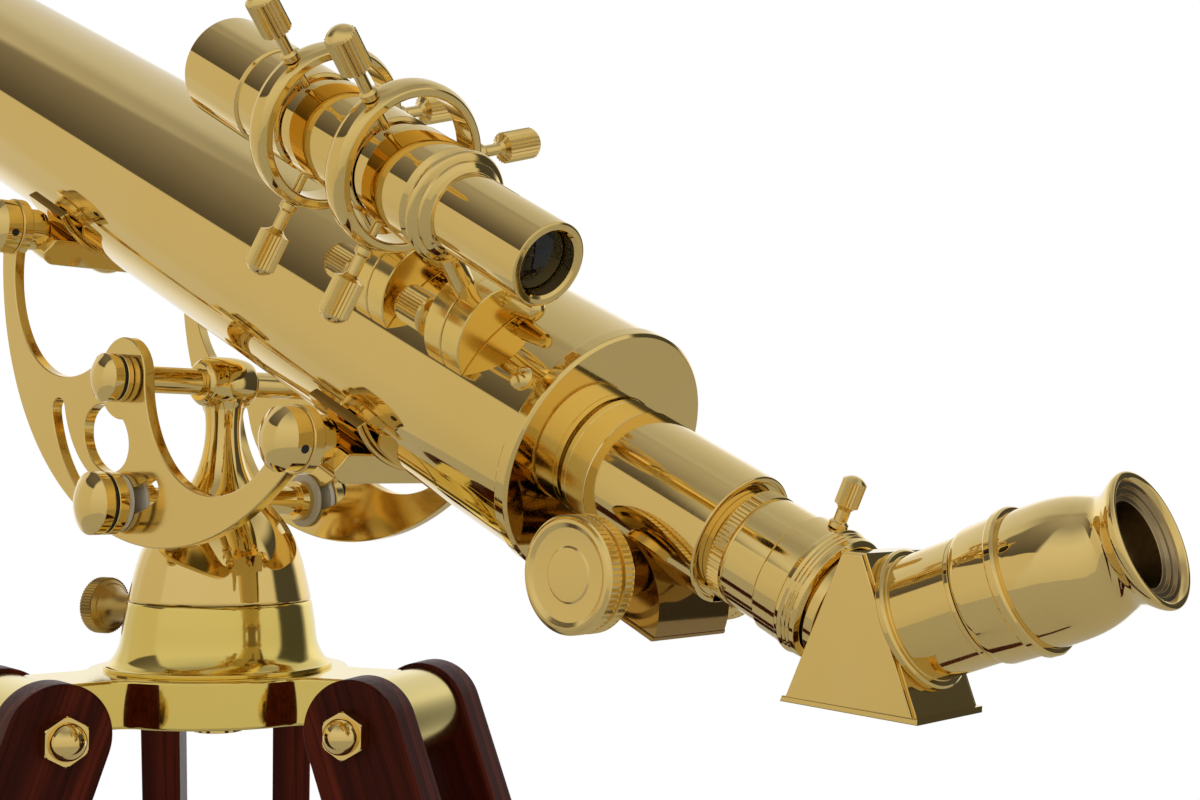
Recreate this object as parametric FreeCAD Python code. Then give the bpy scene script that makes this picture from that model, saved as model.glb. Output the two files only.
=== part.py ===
"""Brass refracting telescope on a three-legged wooden tripod.

Millimetres. +Z is up and the origin is on the floor under the azimuth axis. At rest the tube lies in
the XZ plane with its eyepiece end towards +X, TILT degrees below level. Every piece is written as its
own STEP file in parts/.
"""
import FreeCAD, Part
import math
import os

from FreeCAD import Placement, Rotation, Vector

os.makedirs("parts", exist_ok=True)

# ---- driving dimensions -------------------------------------------------------------------------
FIT = 0.05              # radial clearance of a running fit
GAP = 0.3               # clearance between pieces that move past each other
TILT = 24.8             # tube inclination at rest, degrees

# heights
Z_LEG = 1000.0          # leg pivot axes
Z_ALT = Z_LEG + 143.0   # altitude axis
Z_HUB_TOP = Z_ALT - 124.5
Z_SEAM = Z_ALT - 95.6   # joint between the fixed base and the turning column

# tripod
LEG_AZIMUTHS = {"a": 22.0, "b": 142.0, "c": 262.0}
LEG_PIVOT_R = 87.0
LEG_SPREAD = 20.0
BOSS_R = 19.5
BOSS_HALF = 21.7
SLAT_INNER = 22.0
SLAT_T = 18.0
SLAT_W = 43.0
SLAT_END = 600.0        # distance from the pivot to the lower end of the slats
SLIDER_TOP = 330.0
SLIDER_W = 34.0
KNOB_AT = 572.0         # leg clamp knob, distance from the pivot
FOOT_R = 15.0
FOOT_PAD_R = 7.0
HUB_R = 56.0
HUB_T = 20.0
HUB_BORE_R = 14.0
SPINDLE_R = 11.0
AZ_LOCK_ANGLE = 194.0
AZ_LOCK_Z = Z_SEAM - 5.4
AZ_LOCK_FACE = 73.0     # knob face from the azimuth axis

# altitude mount, seen in the tube's own frame with the altitude axis at its origin
AXIS_H = 66.7           # tube axis above the altitude axis
PLATE_IN = 46.0         # inner face of a crescent plate from the middle plane
PLATE_T = 5.0
PLATE_OUT = PLATE_IN + PLATE_T
CRESCENT_R = 131.0
HORN_X = 118.0
HORN_Z = 25.5
SLOT_R = 52.3
SLOT_HALF_W = 5.2
SLOT_HALF_ANGLE = 51.5
SHAFT_R = 5.75
CLAMP_NECK_R = 4.2

# optical tube, distances s measured from its rear rim along the axis, eyepiece side positive
X_RIM = 220.9           # rear rim from the altitude axis
TUBE_R = 45.0
TUBE_WALL = 2.0
TUBE_FRONT = -606.0
LENS_R = 41.0

# finder
FINDER_ANGLE = 47.7     # round from the top of the tube towards -Y
FINDER_D = 116.7        # finder axis from tube axis
RING_S = (-89.7, -46.3)
RING_R = 28.4
RING_BORE = 24.0
RING_HALF_T = 5.0
FOOT_BLOCK_R = 19.7
FOOT_BLOCK_D = 40.5
FOOT_BLOCK_HALF = 9.5
FINDER_TILT = (-0.022, 0.041)   # slope of the finder along the radial and tangential directions
FINDER_SHIFT = (-0.2, 1.4)
FINDER_BODY_R = 17.4

# focuser
DRAW_R = 17.5
DRAW_BORE = 16.4
SLEEVE_R = 22.8
SLEEVE_END = 65.0
PINION_S = 34.3
PINION_H = 26.6         # pinion axis below the tube axis
PINION_PITCH_R = 5.0
PINION_TEETH = 16
HOUSING_R = 24.7        # half-round block that carries the pinion
HOUSING_HALF = 18.5
HOUSING_BASE = -37.5
RACK_HALF_W = 3.0
TOOTH_H = 0.6
KNOB_R = 19.5
KNOB_IN = 29.0
KNOB_OUT = 42.0

# diagonal and eyepiece
NOSE_R = 15.88
SOCKET_R = NOSE_R + FIT
DIAG_HALF = 18.6
EYE_S, EYE_H = 133.8, 8.3       # where the eyepiece axis leaves the diagonal, above the tube axis
DIAG_FRONT = 111.5

X, Y, Z = Vector(1, 0, 0), Vector(0, 1, 0), Vector(0, 0, 1)
ORIGIN = Vector(0, 0, 0)


# ---- shape helpers ------------------------------------------------------------------------------
def outline(items):
    """Closed face in the XZ plane. An item is a point (a, r), an arc ((a, r) on it, (a, r) end) or a
    spline [points]; a is the distance along the axis and r the distance from it."""
    def at(p):
        return Vector(p[1], 0, p[0])

    edges = []
    last = items[0]
    for item in list(items[1:]) + [items[0]]:
        if isinstance(item, list):
            curve = Part.BSplineCurve()
            curve.interpolate([at(last)] + [at(p) for p in item])
            edges.append(curve.toShape())
            last = item[-1]
        elif isinstance(item[0], tuple):
            edges.append(Part.Arc(at(last), at(item[0]), at(item[1])).toShape())
            last = item[1]
        elif at(item).distanceToPoint(at(last)) > 1e-7:
            edges.append(Part.makeLine(at(last), at(item)))
            last = item
    return Part.Face(Part.Wire(edges))


def dome(start, tip):
    """Arc item from the point start to the axis at tip, part of a sphere centred on the axis."""
    rise = tip - start[0]
    radius = (start[1] ** 2 + rise ** 2) / (2 * rise)
    half = math.asin(min(1.0, start[1] / abs(radius))) / 2
    middle = (tip - radius + radius * math.cos(half), abs(radius) * math.sin(half))
    return (middle, (tip, 0))


def cap_arc(tip, end):
    """The same arc walked the other way, from the axis at tip out to the point end."""
    return (dome(end, tip)[0], end)


def aim(shape, origin, direction):
    """Turn a shape built along +Z so that it runs along direction from origin."""
    shape.Placement = Placement(origin, Rotation(Z, direction)).multiply(shape.Placement)
    return shape


def turned(items, origin=ORIGIN, direction=Z):
    """Solid of revolution of an outline about an axis."""
    return aim(outline(items).revolve(ORIGIN, Z, 360), origin, direction)


def rod(radius, start, end, origin=ORIGIN, direction=Z):
    return aim(Part.makeCylinder(radius, end - start, Vector(0, 0, start)), origin, direction)


def tube(outer, inner, start, end, origin=ORIGIN, direction=Z):
    return rod(outer, start, end, origin, direction).cut(rod(inner, start - 1, end + 1, origin, direction))


def box(x0, x1, y0, y1, z0, z1):
    return Part.makeBox(x1 - x0, y1 - y0, z1 - z0, Vector(x0, y0, z0))


def prism_xz(points, y0, y1):
    """Polygon in the XZ plane carried from y0 to y1."""
    ring = [Vector(x, y0, z) for x, z in points]
    return Part.Face(Part.makePolygon(ring + [ring[0]])).extrude(Vector(0, y1 - y0, 0))


def fuse(first, *others):
    return first.multiFuse(list(others)).removeSplitter()


def placed(shape, placement):
    out = shape.copy()
    out.Placement = placement.multiply(out.Placement)
    return out


def group(shapes):
    return Part.makeCompound(shapes)


def save(name, shape):
    shape.exportStep("parts/" + name + ".step")


# ---- placements ---------------------------------------------------------------------------------
CRADLE = Placement(Vector(0, 0, Z_ALT), Rotation(Y, TILT))          # altitude axis, tilted with the tube
TUBE = CRADLE.multiply(Placement(Vector(X_RIM, 0, AXIS_H), Rotation()))   # rear rim centre


def leg_frame(azimuth):
    """Leg pivot: local x outwards, local y along the pivot, local z down along the leg."""
    turn = Rotation(Z, azimuth)
    flip = Rotation(X, 180)
    lean = Rotation(Y, -LEG_SPREAD)
    pivot = turn.multVec(Vector(LEG_PIVOT_R, 0, 0)) + Vector(0, 0, Z_LEG)
    return Placement(pivot, turn.multiply(lean).multiply(flip))


# ---- tripod -------------------------------------------------------------------------------------
def tripod_hub():
    body = turned([(0, HUB_BORE_R + FIT), (0, HUB_R - 2), (2, HUB_R), (HUB_T - 2, HUB_R),
                   (HUB_T, HUB_R - 2), (HUB_T, HUB_BORE_R + FIT)], Vector(0, 0, Z_HUB_TOP - HUB_T))
    arms = []
    for azimuth in LEG_AZIMUTHS.values():
        web = box(40, LEG_PIVOT_R, -BOSS_HALF, BOSS_HALF, Z_HUB_TOP - HUB_T, Z_HUB_TOP - 0.6)
        boss = turned([(-BOSS_HALF, 0), (-BOSS_HALF, BOSS_R - 1.2), (-BOSS_HALF + 1.2, BOSS_R),
                       (BOSS_HALF - 1.2, BOSS_R), (BOSS_HALF, BOSS_R - 1.2), (BOSS_HALF, 0)],
                      Vector(LEG_PIVOT_R, 0, Z_LEG), Y)
        hole = rod(6.0 + FIT, -30, 30, Vector(LEG_PIVOT_R, 0, Z_LEG), Y)
        arm = web.fuse(boss).cut(hole)
        arms.append(placed(arm, Placement(ORIGIN, Rotation(Z, azimuth))))
    return fuse(body, *arms)


def azimuth_base():
    """Bell-shaped foot that the column's spindle turns in, with a stub that fits the hub."""
    return turned([(Z_HUB_TOP - HUB_T - 6, SPINDLE_R + FIT), (Z_HUB_TOP - HUB_T - 6, HUB_BORE_R),
                   (Z_HUB_TOP, HUB_BORE_R), (Z_HUB_TOP, 49.0), (Z_HUB_TOP + 1.6, 49.2),
                   [(Z_HUB_TOP + 5, 45.0), (Z_HUB_TOP + 11, 42.4), (Z_SEAM - 8, 41.0), (Z_SEAM, 39.6)],
                   (Z_SEAM, SPINDLE_R + FIT)])


def leg_bolts():
    pieces = []
    for azimuth in LEG_AZIMUTHS.values():
        here = Placement(Vector(0, 0, 0), Rotation(Z, azimuth))
        origin = Vector(LEG_PIVOT_R, 0, Z_LEG)
        face = SLAT_INNER + SLAT_T + GAP
        pieces.append(placed(rod(6.0, -face - 2, face + 2, origin, Y), here))
        for side in (-1, 1):
            nut = Part.makeCylinder(8.8, 6.0).common(hexagon(7.8, 0, 6.0))
            crown = turned([(6.0, 0), (6.0, 7.0), (7.2, 7.0), dome((7.2, 7.0), 13.9)])
            acorn = fuse(nut, crown).cut(rod(6.0, -1, 2.0))
            aim(acorn, origin + Y * side * face, Y * side)
            pieces.append(placed(acorn, here))
    return group(pieces)


def hexagon(half_flats, start, end):
    corner = half_flats / math.cos(math.pi / 6)
    points = [Vector(corner * math.cos(math.pi * i / 3), corner * math.sin(math.pi * i / 3), start)
              for i in range(7)]
    return Part.Face(Part.makePolygon(points)).extrude(Vector(0, 0, end - start))


def thumb_knob(radius, thickness, neck_r, neck_len, shank_r, shank_len):
    """Disc knob on a conical neck with a shank; the axis runs from the disc's face inwards (+Z)."""
    end = thickness + neck_len + shank_len
    return turned([(0, 0), (0, radius - 1.2), (1.2, radius), (thickness - 1.2, radius),
                   (thickness, radius - 1.2), (thickness, neck_r * 1.9), (thickness + neck_len, neck_r),
                   (thickness + neck_len, shank_r), (end, shank_r), (end, 0)])


def azimuth_lock_screw():
    """Thumb screw through the base; its narrow tip sits in the spindle's groove."""
    knob = thumb_knob(12.8, 9.0, 5.2, 14.0, 3.0, 37.0)
    tip = rod(2.4, 59.0, AZ_LOCK_FACE - SPINDLE_R + 0.7)
    out = Rotation(Z, AZ_LOCK_ANGLE).multVec(X)
    return aim(fuse(knob, tip), out * AZ_LOCK_FACE + Vector(0, 0, AZ_LOCK_Z), out * -1)


def lock_hole():
    out = Rotation(Z, AZ_LOCK_ANGLE).multVec(X)
    return rod(3.0 + FIT, 8.0, 60.0, Vector(0, 0, AZ_LOCK_Z), out)


def leg_slats(frame):
    """Two parallel slats, rounded at the top and bored for the pivot bolt and the clamp stud."""
    pieces = []
    for side in (-1, 1):
        y0 = SLAT_INNER if side > 0 else -SLAT_INNER - SLAT_T
        board = box(-SLAT_W / 2, SLAT_W / 2, y0, y0 + SLAT_T, 0, SLAT_END)
        head = rod(SLAT_W / 2, y0, y0 + SLAT_T, ORIGIN, Y)
        board = board.fuse(head).removeSplitter()
        edges = [e for e in board.Edges if abs(e.CenterOfMass.z - SLAT_END) > 1 and
                 (abs(e.CenterOfMass.y - y0) < 0.01 or abs(e.CenterOfMass.y - y0 - SLAT_T) < 0.01)]
        board = board.makeChamfer(1.6, edges)
        board = board.cut(rod(6.0 + FIT, y0 - 1, y0 + SLAT_T + 1, ORIGIN, Y))
        if side < 0:
            board = board.cut(rod(4.0 + FIT, y0 - 1, y0 + SLAT_T + 1, Vector(0, 0, KNOB_AT), Y))
        pieces.append(placed(board, frame))
    return group(pieces)


def leg_length():
    """Pivot to the centre of the foot's ball, which sits FOOT_R less the pad's depth above the floor."""
    ball_z = math.sqrt(FOOT_R ** 2 - FOOT_PAD_R ** 2)
    return (Z_LEG - ball_z) / math.cos(math.radians(LEG_SPREAD))


def leg_slider(frame):
    half = SLAT_INNER - GAP
    end = leg_length() - 34.0
    board = box(-SLIDER_W / 2, SLIDER_W / 2, -half, half, SLIDER_TOP, end)
    long_edges = [e for e in board.Edges if e.Length > 100]
    board = board.makeChamfer(2.0, long_edges)
    spigot = rod(8.9, end - 1, end + 18.8)
    return placed(board.fuse(spigot).removeSplitter(), frame)


def leg_foot(frame):
    """Ferrule and ball foot in one rubber moulding, flattened where it stands on the floor."""
    ball = leg_length()
    start = ball - 34.0
    shell = turned([(start, 9.0), (start, 20.0), (start + 4, 21.0), (start + 14, 18.0), (ball - 8, 12.0),
                    (ball, 12.0), (ball, 0), (start + 20.2, 0), (start + 20.2, 9.0)])
    shape = placed(shell.fuse(Part.makeSphere(FOOT_R, Vector(0, 0, ball))).removeSplitter(), frame)
    floor = box(-700, 700, -700, 700, -60, 0)
    return shape.cut(floor)


def leg_knob(frame):
    """Clamp knob on the -y slat; its stud stops just short of the slider."""
    thickness, neck = 11.0, 5.0
    face = SLAT_INNER + SLAT_T + 0.2 + thickness + neck
    knob = thumb_knob(15.0, thickness, 7.0, neck, 4.0, SLAT_T + 0.2)
    aim(knob, Vector(0, -face, KNOB_AT), Y)
    return placed(knob, frame)


# ---- column and altitude axis -------------------------------------------------------------------
def column():
    """Waisted column with the spindle below it and the altitude bearing across its top."""
    z = Z_ALT
    lower = Z_HUB_TOP - HUB_T - 8
    body = turned([(Z_SEAM + GAP, SPINDLE_R), (Z_SEAM + GAP, 39.4),
                   [(z - 88, 37.9), (z - 78, 35.4), (z - 69, 32.0), (z - 61, 27.4), (z - 54, 21.5),
                    (z - 47, 15.6), (z - 39, 11.2), (z - 30, 8.6), (z - 21, 7.6), (z - 13, 8.0),
                    (z - 7, 9.6)],
                   (z, 10.4), (z, 0), (lower, 0), (lower, SPINDLE_R - 1.0), (lower + 1.0, SPINDLE_R),
                   (AZ_LOCK_Z - 3.4, SPINDLE_R), (AZ_LOCK_Z - 2.8, SPINDLE_R - 1.2),
                   (AZ_LOCK_Z + 2.8, SPINDLE_R - 1.2), (AZ_LOCK_Z + 3.4, SPINDLE_R)])
    head = turned([(-13, 0), (-13, 6.6), ((-12.4, 8.8), (-10.4, 10.2)), ((0, 11.6), (10.4, 10.2)),
                   ((12.4, 8.8), (13, 6.6)), (13, 0)], Vector(0, 0, z), Y)
    solid = fuse(body, head)
    solid = solid.cut(rod(SHAFT_R + 0.01, -30, 30, Vector(0, 0, z), Y))
    return solid.cut(rod(6.5 + 0.01, -40, 40, Vector(0, 0, z - SLOT_R), Y))


def altitude_shaft():
    return rod(SHAFT_R, -58, 58, Vector(0, 0, Z_ALT), Y)


def domed_cap(radius, start, skirt, groove, body, rise):
    """Two stacked discs with a groove between them and a domed end."""
    a, b = start + skirt, start + skirt + groove
    top = b + body
    return [(start, 0), (start, radius - 0.4), (start + 0.4, radius), (a - 0.4, radius), (a, radius - 0.4),
            (a, radius - 1.6), (b, radius - 1.6), (b, radius - 0.4), (b + 0.4, radius), (top, radius),
            dome((top, radius), top + rise)]


def pivot_caps():
    pieces = []
    for side in (-1, 1):
        cap = turned(domed_cap(10.2, PLATE_OUT + 0.2, 2.6, 1.0, 5.0, 3.6))
        cap = cap.cut(rod(SHAFT_R, 40, 58))
        pieces.append(aim(cap, Vector(0, 0, Z_ALT), Y * side))
    return group(pieces)


def clamp_rod():
    """Cross rod through the column; its ends are turned down to pass the plates' slots."""
    end = 63.0
    items = [(-end, 0), (-end, CLAMP_NECK_R), (-44, CLAMP_NECK_R), (-44, 9.0), (-38, 9.0), (-38, 6.5),
             (38, 6.5), (38, 9.0), (44, 9.0), (44, CLAMP_NECK_R), (end, CLAMP_NECK_R), (end, 0)]
    return turned(items, Vector(0, 0, Z_ALT - SLOT_R), Y)


def clamp_washers():
    pieces = []
    for side in (-1, 1):
        for start, end in ((44.0, PLATE_IN - 0.2), (PLATE_OUT + 0.2, PLATE_OUT + 2.6)):
            ring = tube(12.4, CLAMP_NECK_R, start, end)
            pieces.append(aim(ring, Vector(0, 0, Z_ALT - SLOT_R), Y * side))
    return group(pieces)


def clamp_knob(side):
    knob = turned(domed_cap(13.2, PLATE_OUT + 2.8, 4.8, 1.2, 5.0, 4.4))
    knob = knob.cut(rod(CLAMP_NECK_R + FIT, 40, 63.0 + GAP))
    return aim(knob, Vector(0, 0, Z_ALT - SLOT_R), Y * side)


def crescent(side):
    """Crescent plate: outer edge concentric with the tube, two U openings, an oval and the clamp slot."""
    y0, y1 = (PLATE_IN, PLATE_OUT) if side > 0 else (-PLATE_OUT, -PLATE_IN)

    def disc(radius, x, z):
        return rod(radius, y0, y1, Vector(x, 0, z), Y)

    plate = disc(CRESCENT_R, 0, AXIS_H).common(box(-140, 140, y0, y1, -80, HORN_Z))
    for x in (-60, 60):
        plate = plate.cut(disc(49.5, x, 29.0))
    plate = plate.cut(box(-30, 30, y0, y1, 0, 40))
    oval = Part.Ellipse(ORIGIN, 18.2, 13.6).toShape()
    oval = Part.Face(Part.Wire(oval)).extrude(Vector(0, 0, y1 - y0))
    oval.Placement = Placement(Vector(0, y1, -27.6), Rotation(X, 90))
    plate = plate.cut(oval)
    plate = plate.multiFuse([disc(17.3, 0, 0), disc(13.2, -HORN_X, HORN_Z), disc(13.2, HORN_X, HORN_Z)])
    plate = plate.removeSplitter()
    rim = [e for e in plate.Edges if abs(abs(e.CenterOfMass.y) - PLATE_OUT) < 0.01 and e.Length > 250]
    plate = plate.makeChamfer(0.6, rim)
    ring = disc(SLOT_R + SLOT_HALF_W, 0, 0).cut(disc(SLOT_R - SLOT_HALF_W, 0, 0))
    reach = 90.0
    side_x = reach * math.sin(math.radians(SLOT_HALF_ANGLE))
    side_z = -reach * math.cos(math.radians(SLOT_HALF_ANGLE))
    wedge = prism_xz([(0, 0), (side_x, side_z), (0, -reach * 1.5), (-side_x, side_z)], y0, y1)
    plate = plate.cut(ring.common(wedge))
    for sign in (-1, 1):
        angle = math.radians(SLOT_HALF_ANGLE * sign)
        plate = plate.cut(disc(SLOT_HALF_W, SLOT_R * math.sin(angle), -SLOT_R * math.cos(angle)))
        plate = plate.cut(disc(4.0, HORN_X * sign, HORN_Z))
    plate = plate.cut(disc(SHAFT_R + FIT, 0, 0))
    return placed(plate, CRADLE)


def saddle(x):
    """Cross piece between the plates' horns, hollowed to seat the tube, with a stud at each end."""
    inner = PLATE_IN - 0.01
    bar = rod(9.6, -inner, inner, Vector(x, 0, HORN_Z), Y)
    studs = rod(3.98, -PLATE_OUT - 6, PLATE_OUT + 6, Vector(x, 0, HORN_Z), Y)
    block = box(x - 15, x + 15, -40, 40, HORN_Z - 11.5, HORN_Z + 9)
    block = block.makeFillet(6.0, [e for e in block.Edges if e.CenterOfMass.z < HORN_Z - 11
                                   and abs(e.CenterOfMass.y) < 1])
    cradle = rod(TUBE_R + 3.6, -18, 18, Vector(x, 0, AXIS_H), X)
    reach = 90.0
    side_y = reach * math.sin(math.radians(62))
    side_z = AXIS_H - reach * math.cos(math.radians(62))
    points = [Vector(x - 20, 0, AXIS_H), Vector(x - 20, side_y, side_z), Vector(x - 20, 0, -80),
              Vector(x - 20, -side_y, side_z), Vector(x - 20, 0, AXIS_H)]
    wedge = Part.Face(Part.makePolygon(points)).extrude(Vector(40, 0, 0))
    solid = fuse(bar, block, cradle.common(wedge))
    solid = solid.cut(rod(TUBE_R, -30, 30, Vector(x, 0, AXIS_H), X))
    bolt = turned([(-1, 0), (-1, 7.8), (2.6, 7.8), dome((2.6, 7.8), 5.6)],
                  Vector(x, 0, HORN_Z - 11.5), Z * -1)
    return placed(fuse(solid, bolt, studs.cut(rod(TUBE_R, -30, 30, Vector(x, 0, AXIS_H), X))), CRADLE)


def horn_caps():
    pieces = []
    for x in (-HORN_X, HORN_X):
        for side in (-1, 1):
            cap = turned([(PLATE_OUT, 0), (PLATE_OUT, 11.9), (PLATE_OUT + 0.4, 12.3),
                          (PLATE_OUT + 7.0, 12.3), dome((PLATE_OUT + 7.0, 12.3), PLATE_OUT + 12.2)])
            cap = cap.cut(rod(3.98, 40, PLATE_OUT + 6))
            aim(cap, Vector(x, 0, HORN_Z), Y * side)
            screw = rod(1.7, 5.0, 20.0, Vector(x, side * (PLATE_OUT + 3.6), HORN_Z),
                        Vector(1, 0, -0.25))
            pieces.append(placed(cap.cut(screw), CRADLE))
    return group(pieces)


# ---- optical tube -------------------------------------------------------------------------------
def in_tube(shape):
    return placed(shape, TUBE)


def rack_channel(start, end):
    return box(start, end, -RACK_HALF_W - GAP, RACK_HALF_W + GAP, -22.2, -10)


def main_tube():
    return in_tube(tube(TUBE_R, TUBE_R - TUBE_WALL, TUBE_FRONT, -5.7, ORIGIN, X))


def rear_ring():
    bore = 20.2
    solid = turned([(-22, TUBE_R - TUBE_WALL - 3), (-22, TUBE_R - TUBE_WALL), (-5.7, TUBE_R - TUBE_WALL),
                    (-5.7, TUBE_R + 0.8), (-5.3, TUBE_R + 1.2), (-0.9, TUBE_R + 1.0), (0, TUBE_R), (0, bore),
                    (-4, bore), (-4, TUBE_R - TUBE_WALL - 3)], ORIGIN, X)
    return in_tube(solid.cut(rack_channel(-10, 2)))


def rear_screws():
    """Round-head cross screws that hold the rear ring."""
    pieces = []
    for i in range(3):
        rim = (TUBE_R + 0.8, 4.2)
        head = turned([(TUBE_R - 1, 0), (TUBE_R - 1, 4.2), rim, dome(rim, TUBE_R + 3.3)])
        for angle in (45, 135):
            slot = box(-3.0, 3.0, -0.45, 0.45, TUBE_R + 1.9, TUBE_R + 5)
            slot.rotate(ORIGIN, Z, angle)
            head = head.cut(slot)
        angle = math.radians(60.7 + 120 * i)
        aim(head, Vector(-13.5, 0, 0), Vector(0, -math.sin(angle), math.cos(angle)))
        pieces.append(in_tube(head.cut(rod(TUBE_R, -40, 20, ORIGIN, X))))
    return group(pieces)


def objective_cell():
    return in_tube(turned([(-628, 39.6), (-628, 46.0), (-627, 47.0), (-594, 47.0), (-593, 46.0),
                           (-593, TUBE_R), (-606, TUBE_R), (-606, 39.6), (-609, 39.6), (-609, LENS_R + 0.1),
                           (-625, LENS_R + 0.1), (-625, 39.6)], ORIGIN, X))


def objective_doublet():
    crown = turned([(-624.2, 0), cap_arc(-624.2, (-620.0, LENS_R)), (-617.4, LENS_R),
                    dome((-617.4, LENS_R), -614.2)], ORIGIN, X)
    flint = turned([(-613.8, 0), cap_arc(-613.8, (-617.0, LENS_R)), (-609.2, LENS_R),
                    dome((-609.2, LENS_R), -610.0)], ORIGIN, X)
    return group([in_tube(crown), in_tube(flint)])


def dew_shield():
    return in_tube(turned([(-716, 47.3), (-716, 49.4), (-715, 50.4), (-709, 50.4), (-708, 49.2),
                           (-602, 49.2), (-601, 48.4), (-601, 47.0), (-627, 47.0), (-630, 47.6)],
                          ORIGIN, X))


# ---- finder -------------------------------------------------------------------------------------
ANGLE = math.radians(FINDER_ANGLE)
RADIAL = Vector(0, -math.sin(ANGLE), math.cos(ANGLE))       # from the tube axis to the finder
TANGENT = Vector(0, -math.cos(ANGLE), -math.sin(ANGLE))
FINDER_MID = sum(RING_S) / 2
FINDER_CENTRE = (Vector(FINDER_MID, 0, 0) + RADIAL * (FINDER_D + FINDER_SHIFT[0])
                 + TANGENT * FINDER_SHIFT[1])
FINDER_AXIS = (X + RADIAL * FINDER_TILT[0] + TANGENT * FINDER_TILT[1]).normalize()


def finder_feet():
    """Half-round saddle blocks with a groove round the middle, seated on the tube."""
    pieces = []
    for s in RING_S:
        half = FOOT_BLOCK_HALF
        block = turned([(-half, 0), (-half, FOOT_BLOCK_R - 0.8), (-half + 0.8, FOOT_BLOCK_R),
                        (-0.35, FOOT_BLOCK_R), (-0.35, FOOT_BLOCK_R - 1.0), (0.35, FOOT_BLOCK_R - 1.0),
                        (0.35, FOOT_BLOCK_R), (half - 0.8, FOOT_BLOCK_R), (half, FOOT_BLOCK_R - 0.8),
                        (half, 0)], RADIAL * FOOT_BLOCK_D + Vector(s, 0, 0), X)
        block = block.cut(rod(TUBE_R, s - 20, s + 20, ORIGIN, X))
        block = block.cut(rod(4.2, 50.0, 70.0, Vector(s, 0, 0), RADIAL))
        hole = rod(3.0 + FIT, s - 20, s - 4.0, foot_offset(12.0, 52.0), X)
        pieces.append(in_tube(block.cut(hole).cut(rod(2.4, s + 5.0, s + 20, foot_offset(-12.0, 52.0), X))))
    return group(pieces)


def foot_offset(degrees, radius):
    """Point in the plane across the tube, some degrees round from the finder's direction."""
    angle = ANGLE + math.radians(degrees)
    return Vector(0, -math.sin(angle), math.cos(angle)) * radius


def finder_rings():
    pieces = []
    for s in RING_S:
        here = RADIAL * FINDER_D + Vector(s, 0, 0)
        t, r0, r1 = RING_HALF_T, RING_BORE, RING_R
        ring = turned([(-t, r0), (-t, r1 - 1.6), ((-t * 0.62, r1 - 0.3), (0, r1)),
                       ((t * 0.62, r1 - 0.3), (t, r1 - 1.6)), (t, r0)], here, X)
        post = rod(4.2, 50.2, FINDER_D - r0 - 1.0, Vector(s, 0, 0), RADIAL)
        post = post.cut(rod(r0 + 0.5, s - 20, s + 20, RADIAL * FINDER_D, X))
        ring = ring.fuse(post).removeSplitter()
        for direction in screw_directions():
            ring = ring.cut(rod(1.6 + FIT, 15, 40, here, direction))
        pieces.append(in_tube(ring))
    return group(pieces)


def screw_directions():
    """Three directions across the finder, 120 degrees apart; none points at the post."""
    out = []
    for degrees in (-60.0, 60.0, 180.0):
        angle = math.radians(degrees)
        out.append(RADIAL * math.cos(angle) * -1 + TANGENT * math.sin(angle))
    return out


def finder_tube():
    """Objective barrel, grooved body, bead, step and eyepiece tube, bored through."""
    b = FINDER_BODY_R
    mid = FINDER_MID
    rear, front = 28.6 - mid, -152.0 - mid
    g0, g1 = RING_S[0] - mid, RING_S[1] - mid
    items = [(front, 16.6), (front, 17.6), (front + 0.6, 18.3), (-118.0 - mid, 18.3), (-117.4 - mid, b)]
    for g in (g0, g1):
        items += [(g - 4.2, b), (g - 3.4, b - 1.4), (g + 3.4, b - 1.4), (g + 4.2, b)]
    bead = -17.0 - mid
    items += [(bead - 5, b), (bead - 3.6, b - 1.0), (bead - 2.4, b - 0.8),
              ((bead, b + 0.9), (bead + 2.4, b - 0.8)),
              ((bead + 4.0, b - 1.6), (bead + 6.0, 13.1)), (rear - 0.5, 13.1), (rear, 12.7), (rear, 11.4),
              (rear - 1.2, 10.6), (rear - 6.0, 10.2), (rear - 6.0, 8.6), (rear - 34.0, 8.6),
              (-20.0 - mid, 11.0), (-24.0 - mid, 15.0), (front + 7.0, 15.0), (front + 7.0, 16.6)]
    return in_tube(turned(items, FINDER_CENTRE, FINDER_AXIS))


def finder_lenses():
    mid = FINDER_MID
    rear, front = 28.6 - mid, -152.0 - mid
    objective = turned([(front + 1.8, 0), cap_arc(front + 1.8, (front + 4.0, 16.6)), (front + 6.8, 16.6),
                        (front + 6.8, 0)], FINDER_CENTRE, FINDER_AXIS)
    rim = (rear - 4.6, 10.2)
    eye = turned([(rear - 5.9, 0), (rear - 5.9, 10.2), rim, dome(rim, rear - 3.0)], FINDER_CENTRE, FINDER_AXIS)
    return group([in_tube(objective), in_tube(eye)])


def finder_screw(s, direction):
    """Knurled thumb screw through a ring; the point stops just short of the finder's groove."""
    centre = RADIAL * FINDER_D + Vector(s, 0, 0)
    step = s - FINDER_MID
    middle = FINDER_CENTRE + FINDER_AXIS * step - centre
    tip = middle.dot(direction) + FINDER_BODY_R - 1.4 + GAP
    head = RING_R + 10.5
    screw = turned([(tip, 0), (tip + 0.9, 1.6), (head - 3, 1.6), (head - 3, 2.6), (head, 2.9),
                    (head + 0.8, 5.2), (head + 14.2, 5.2), dome((head + 14.2, 5.2), head + 16.0)])
    return in_tube(aim(screw, centre, direction))


def finder_clamp(s):
    """Knurled screw that closes a foot on the ring's post."""
    centre = foot_offset(12.0, 52.0) + Vector(s, 0, 0)
    reach = FOOT_BLOCK_HALF + GAP
    screw = turned([(5.0, 0), (5.0, 3.0), (reach, 3.0), (reach, 4.2), (reach + 1.5, 4.2),
                    (reach + 2.4, 7.0), (reach + 14.8, 7.0), (reach + 16.0, 5.8), (reach + 16.0, 0)])
    return in_tube(aim(screw, centre, X * -1))


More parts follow.
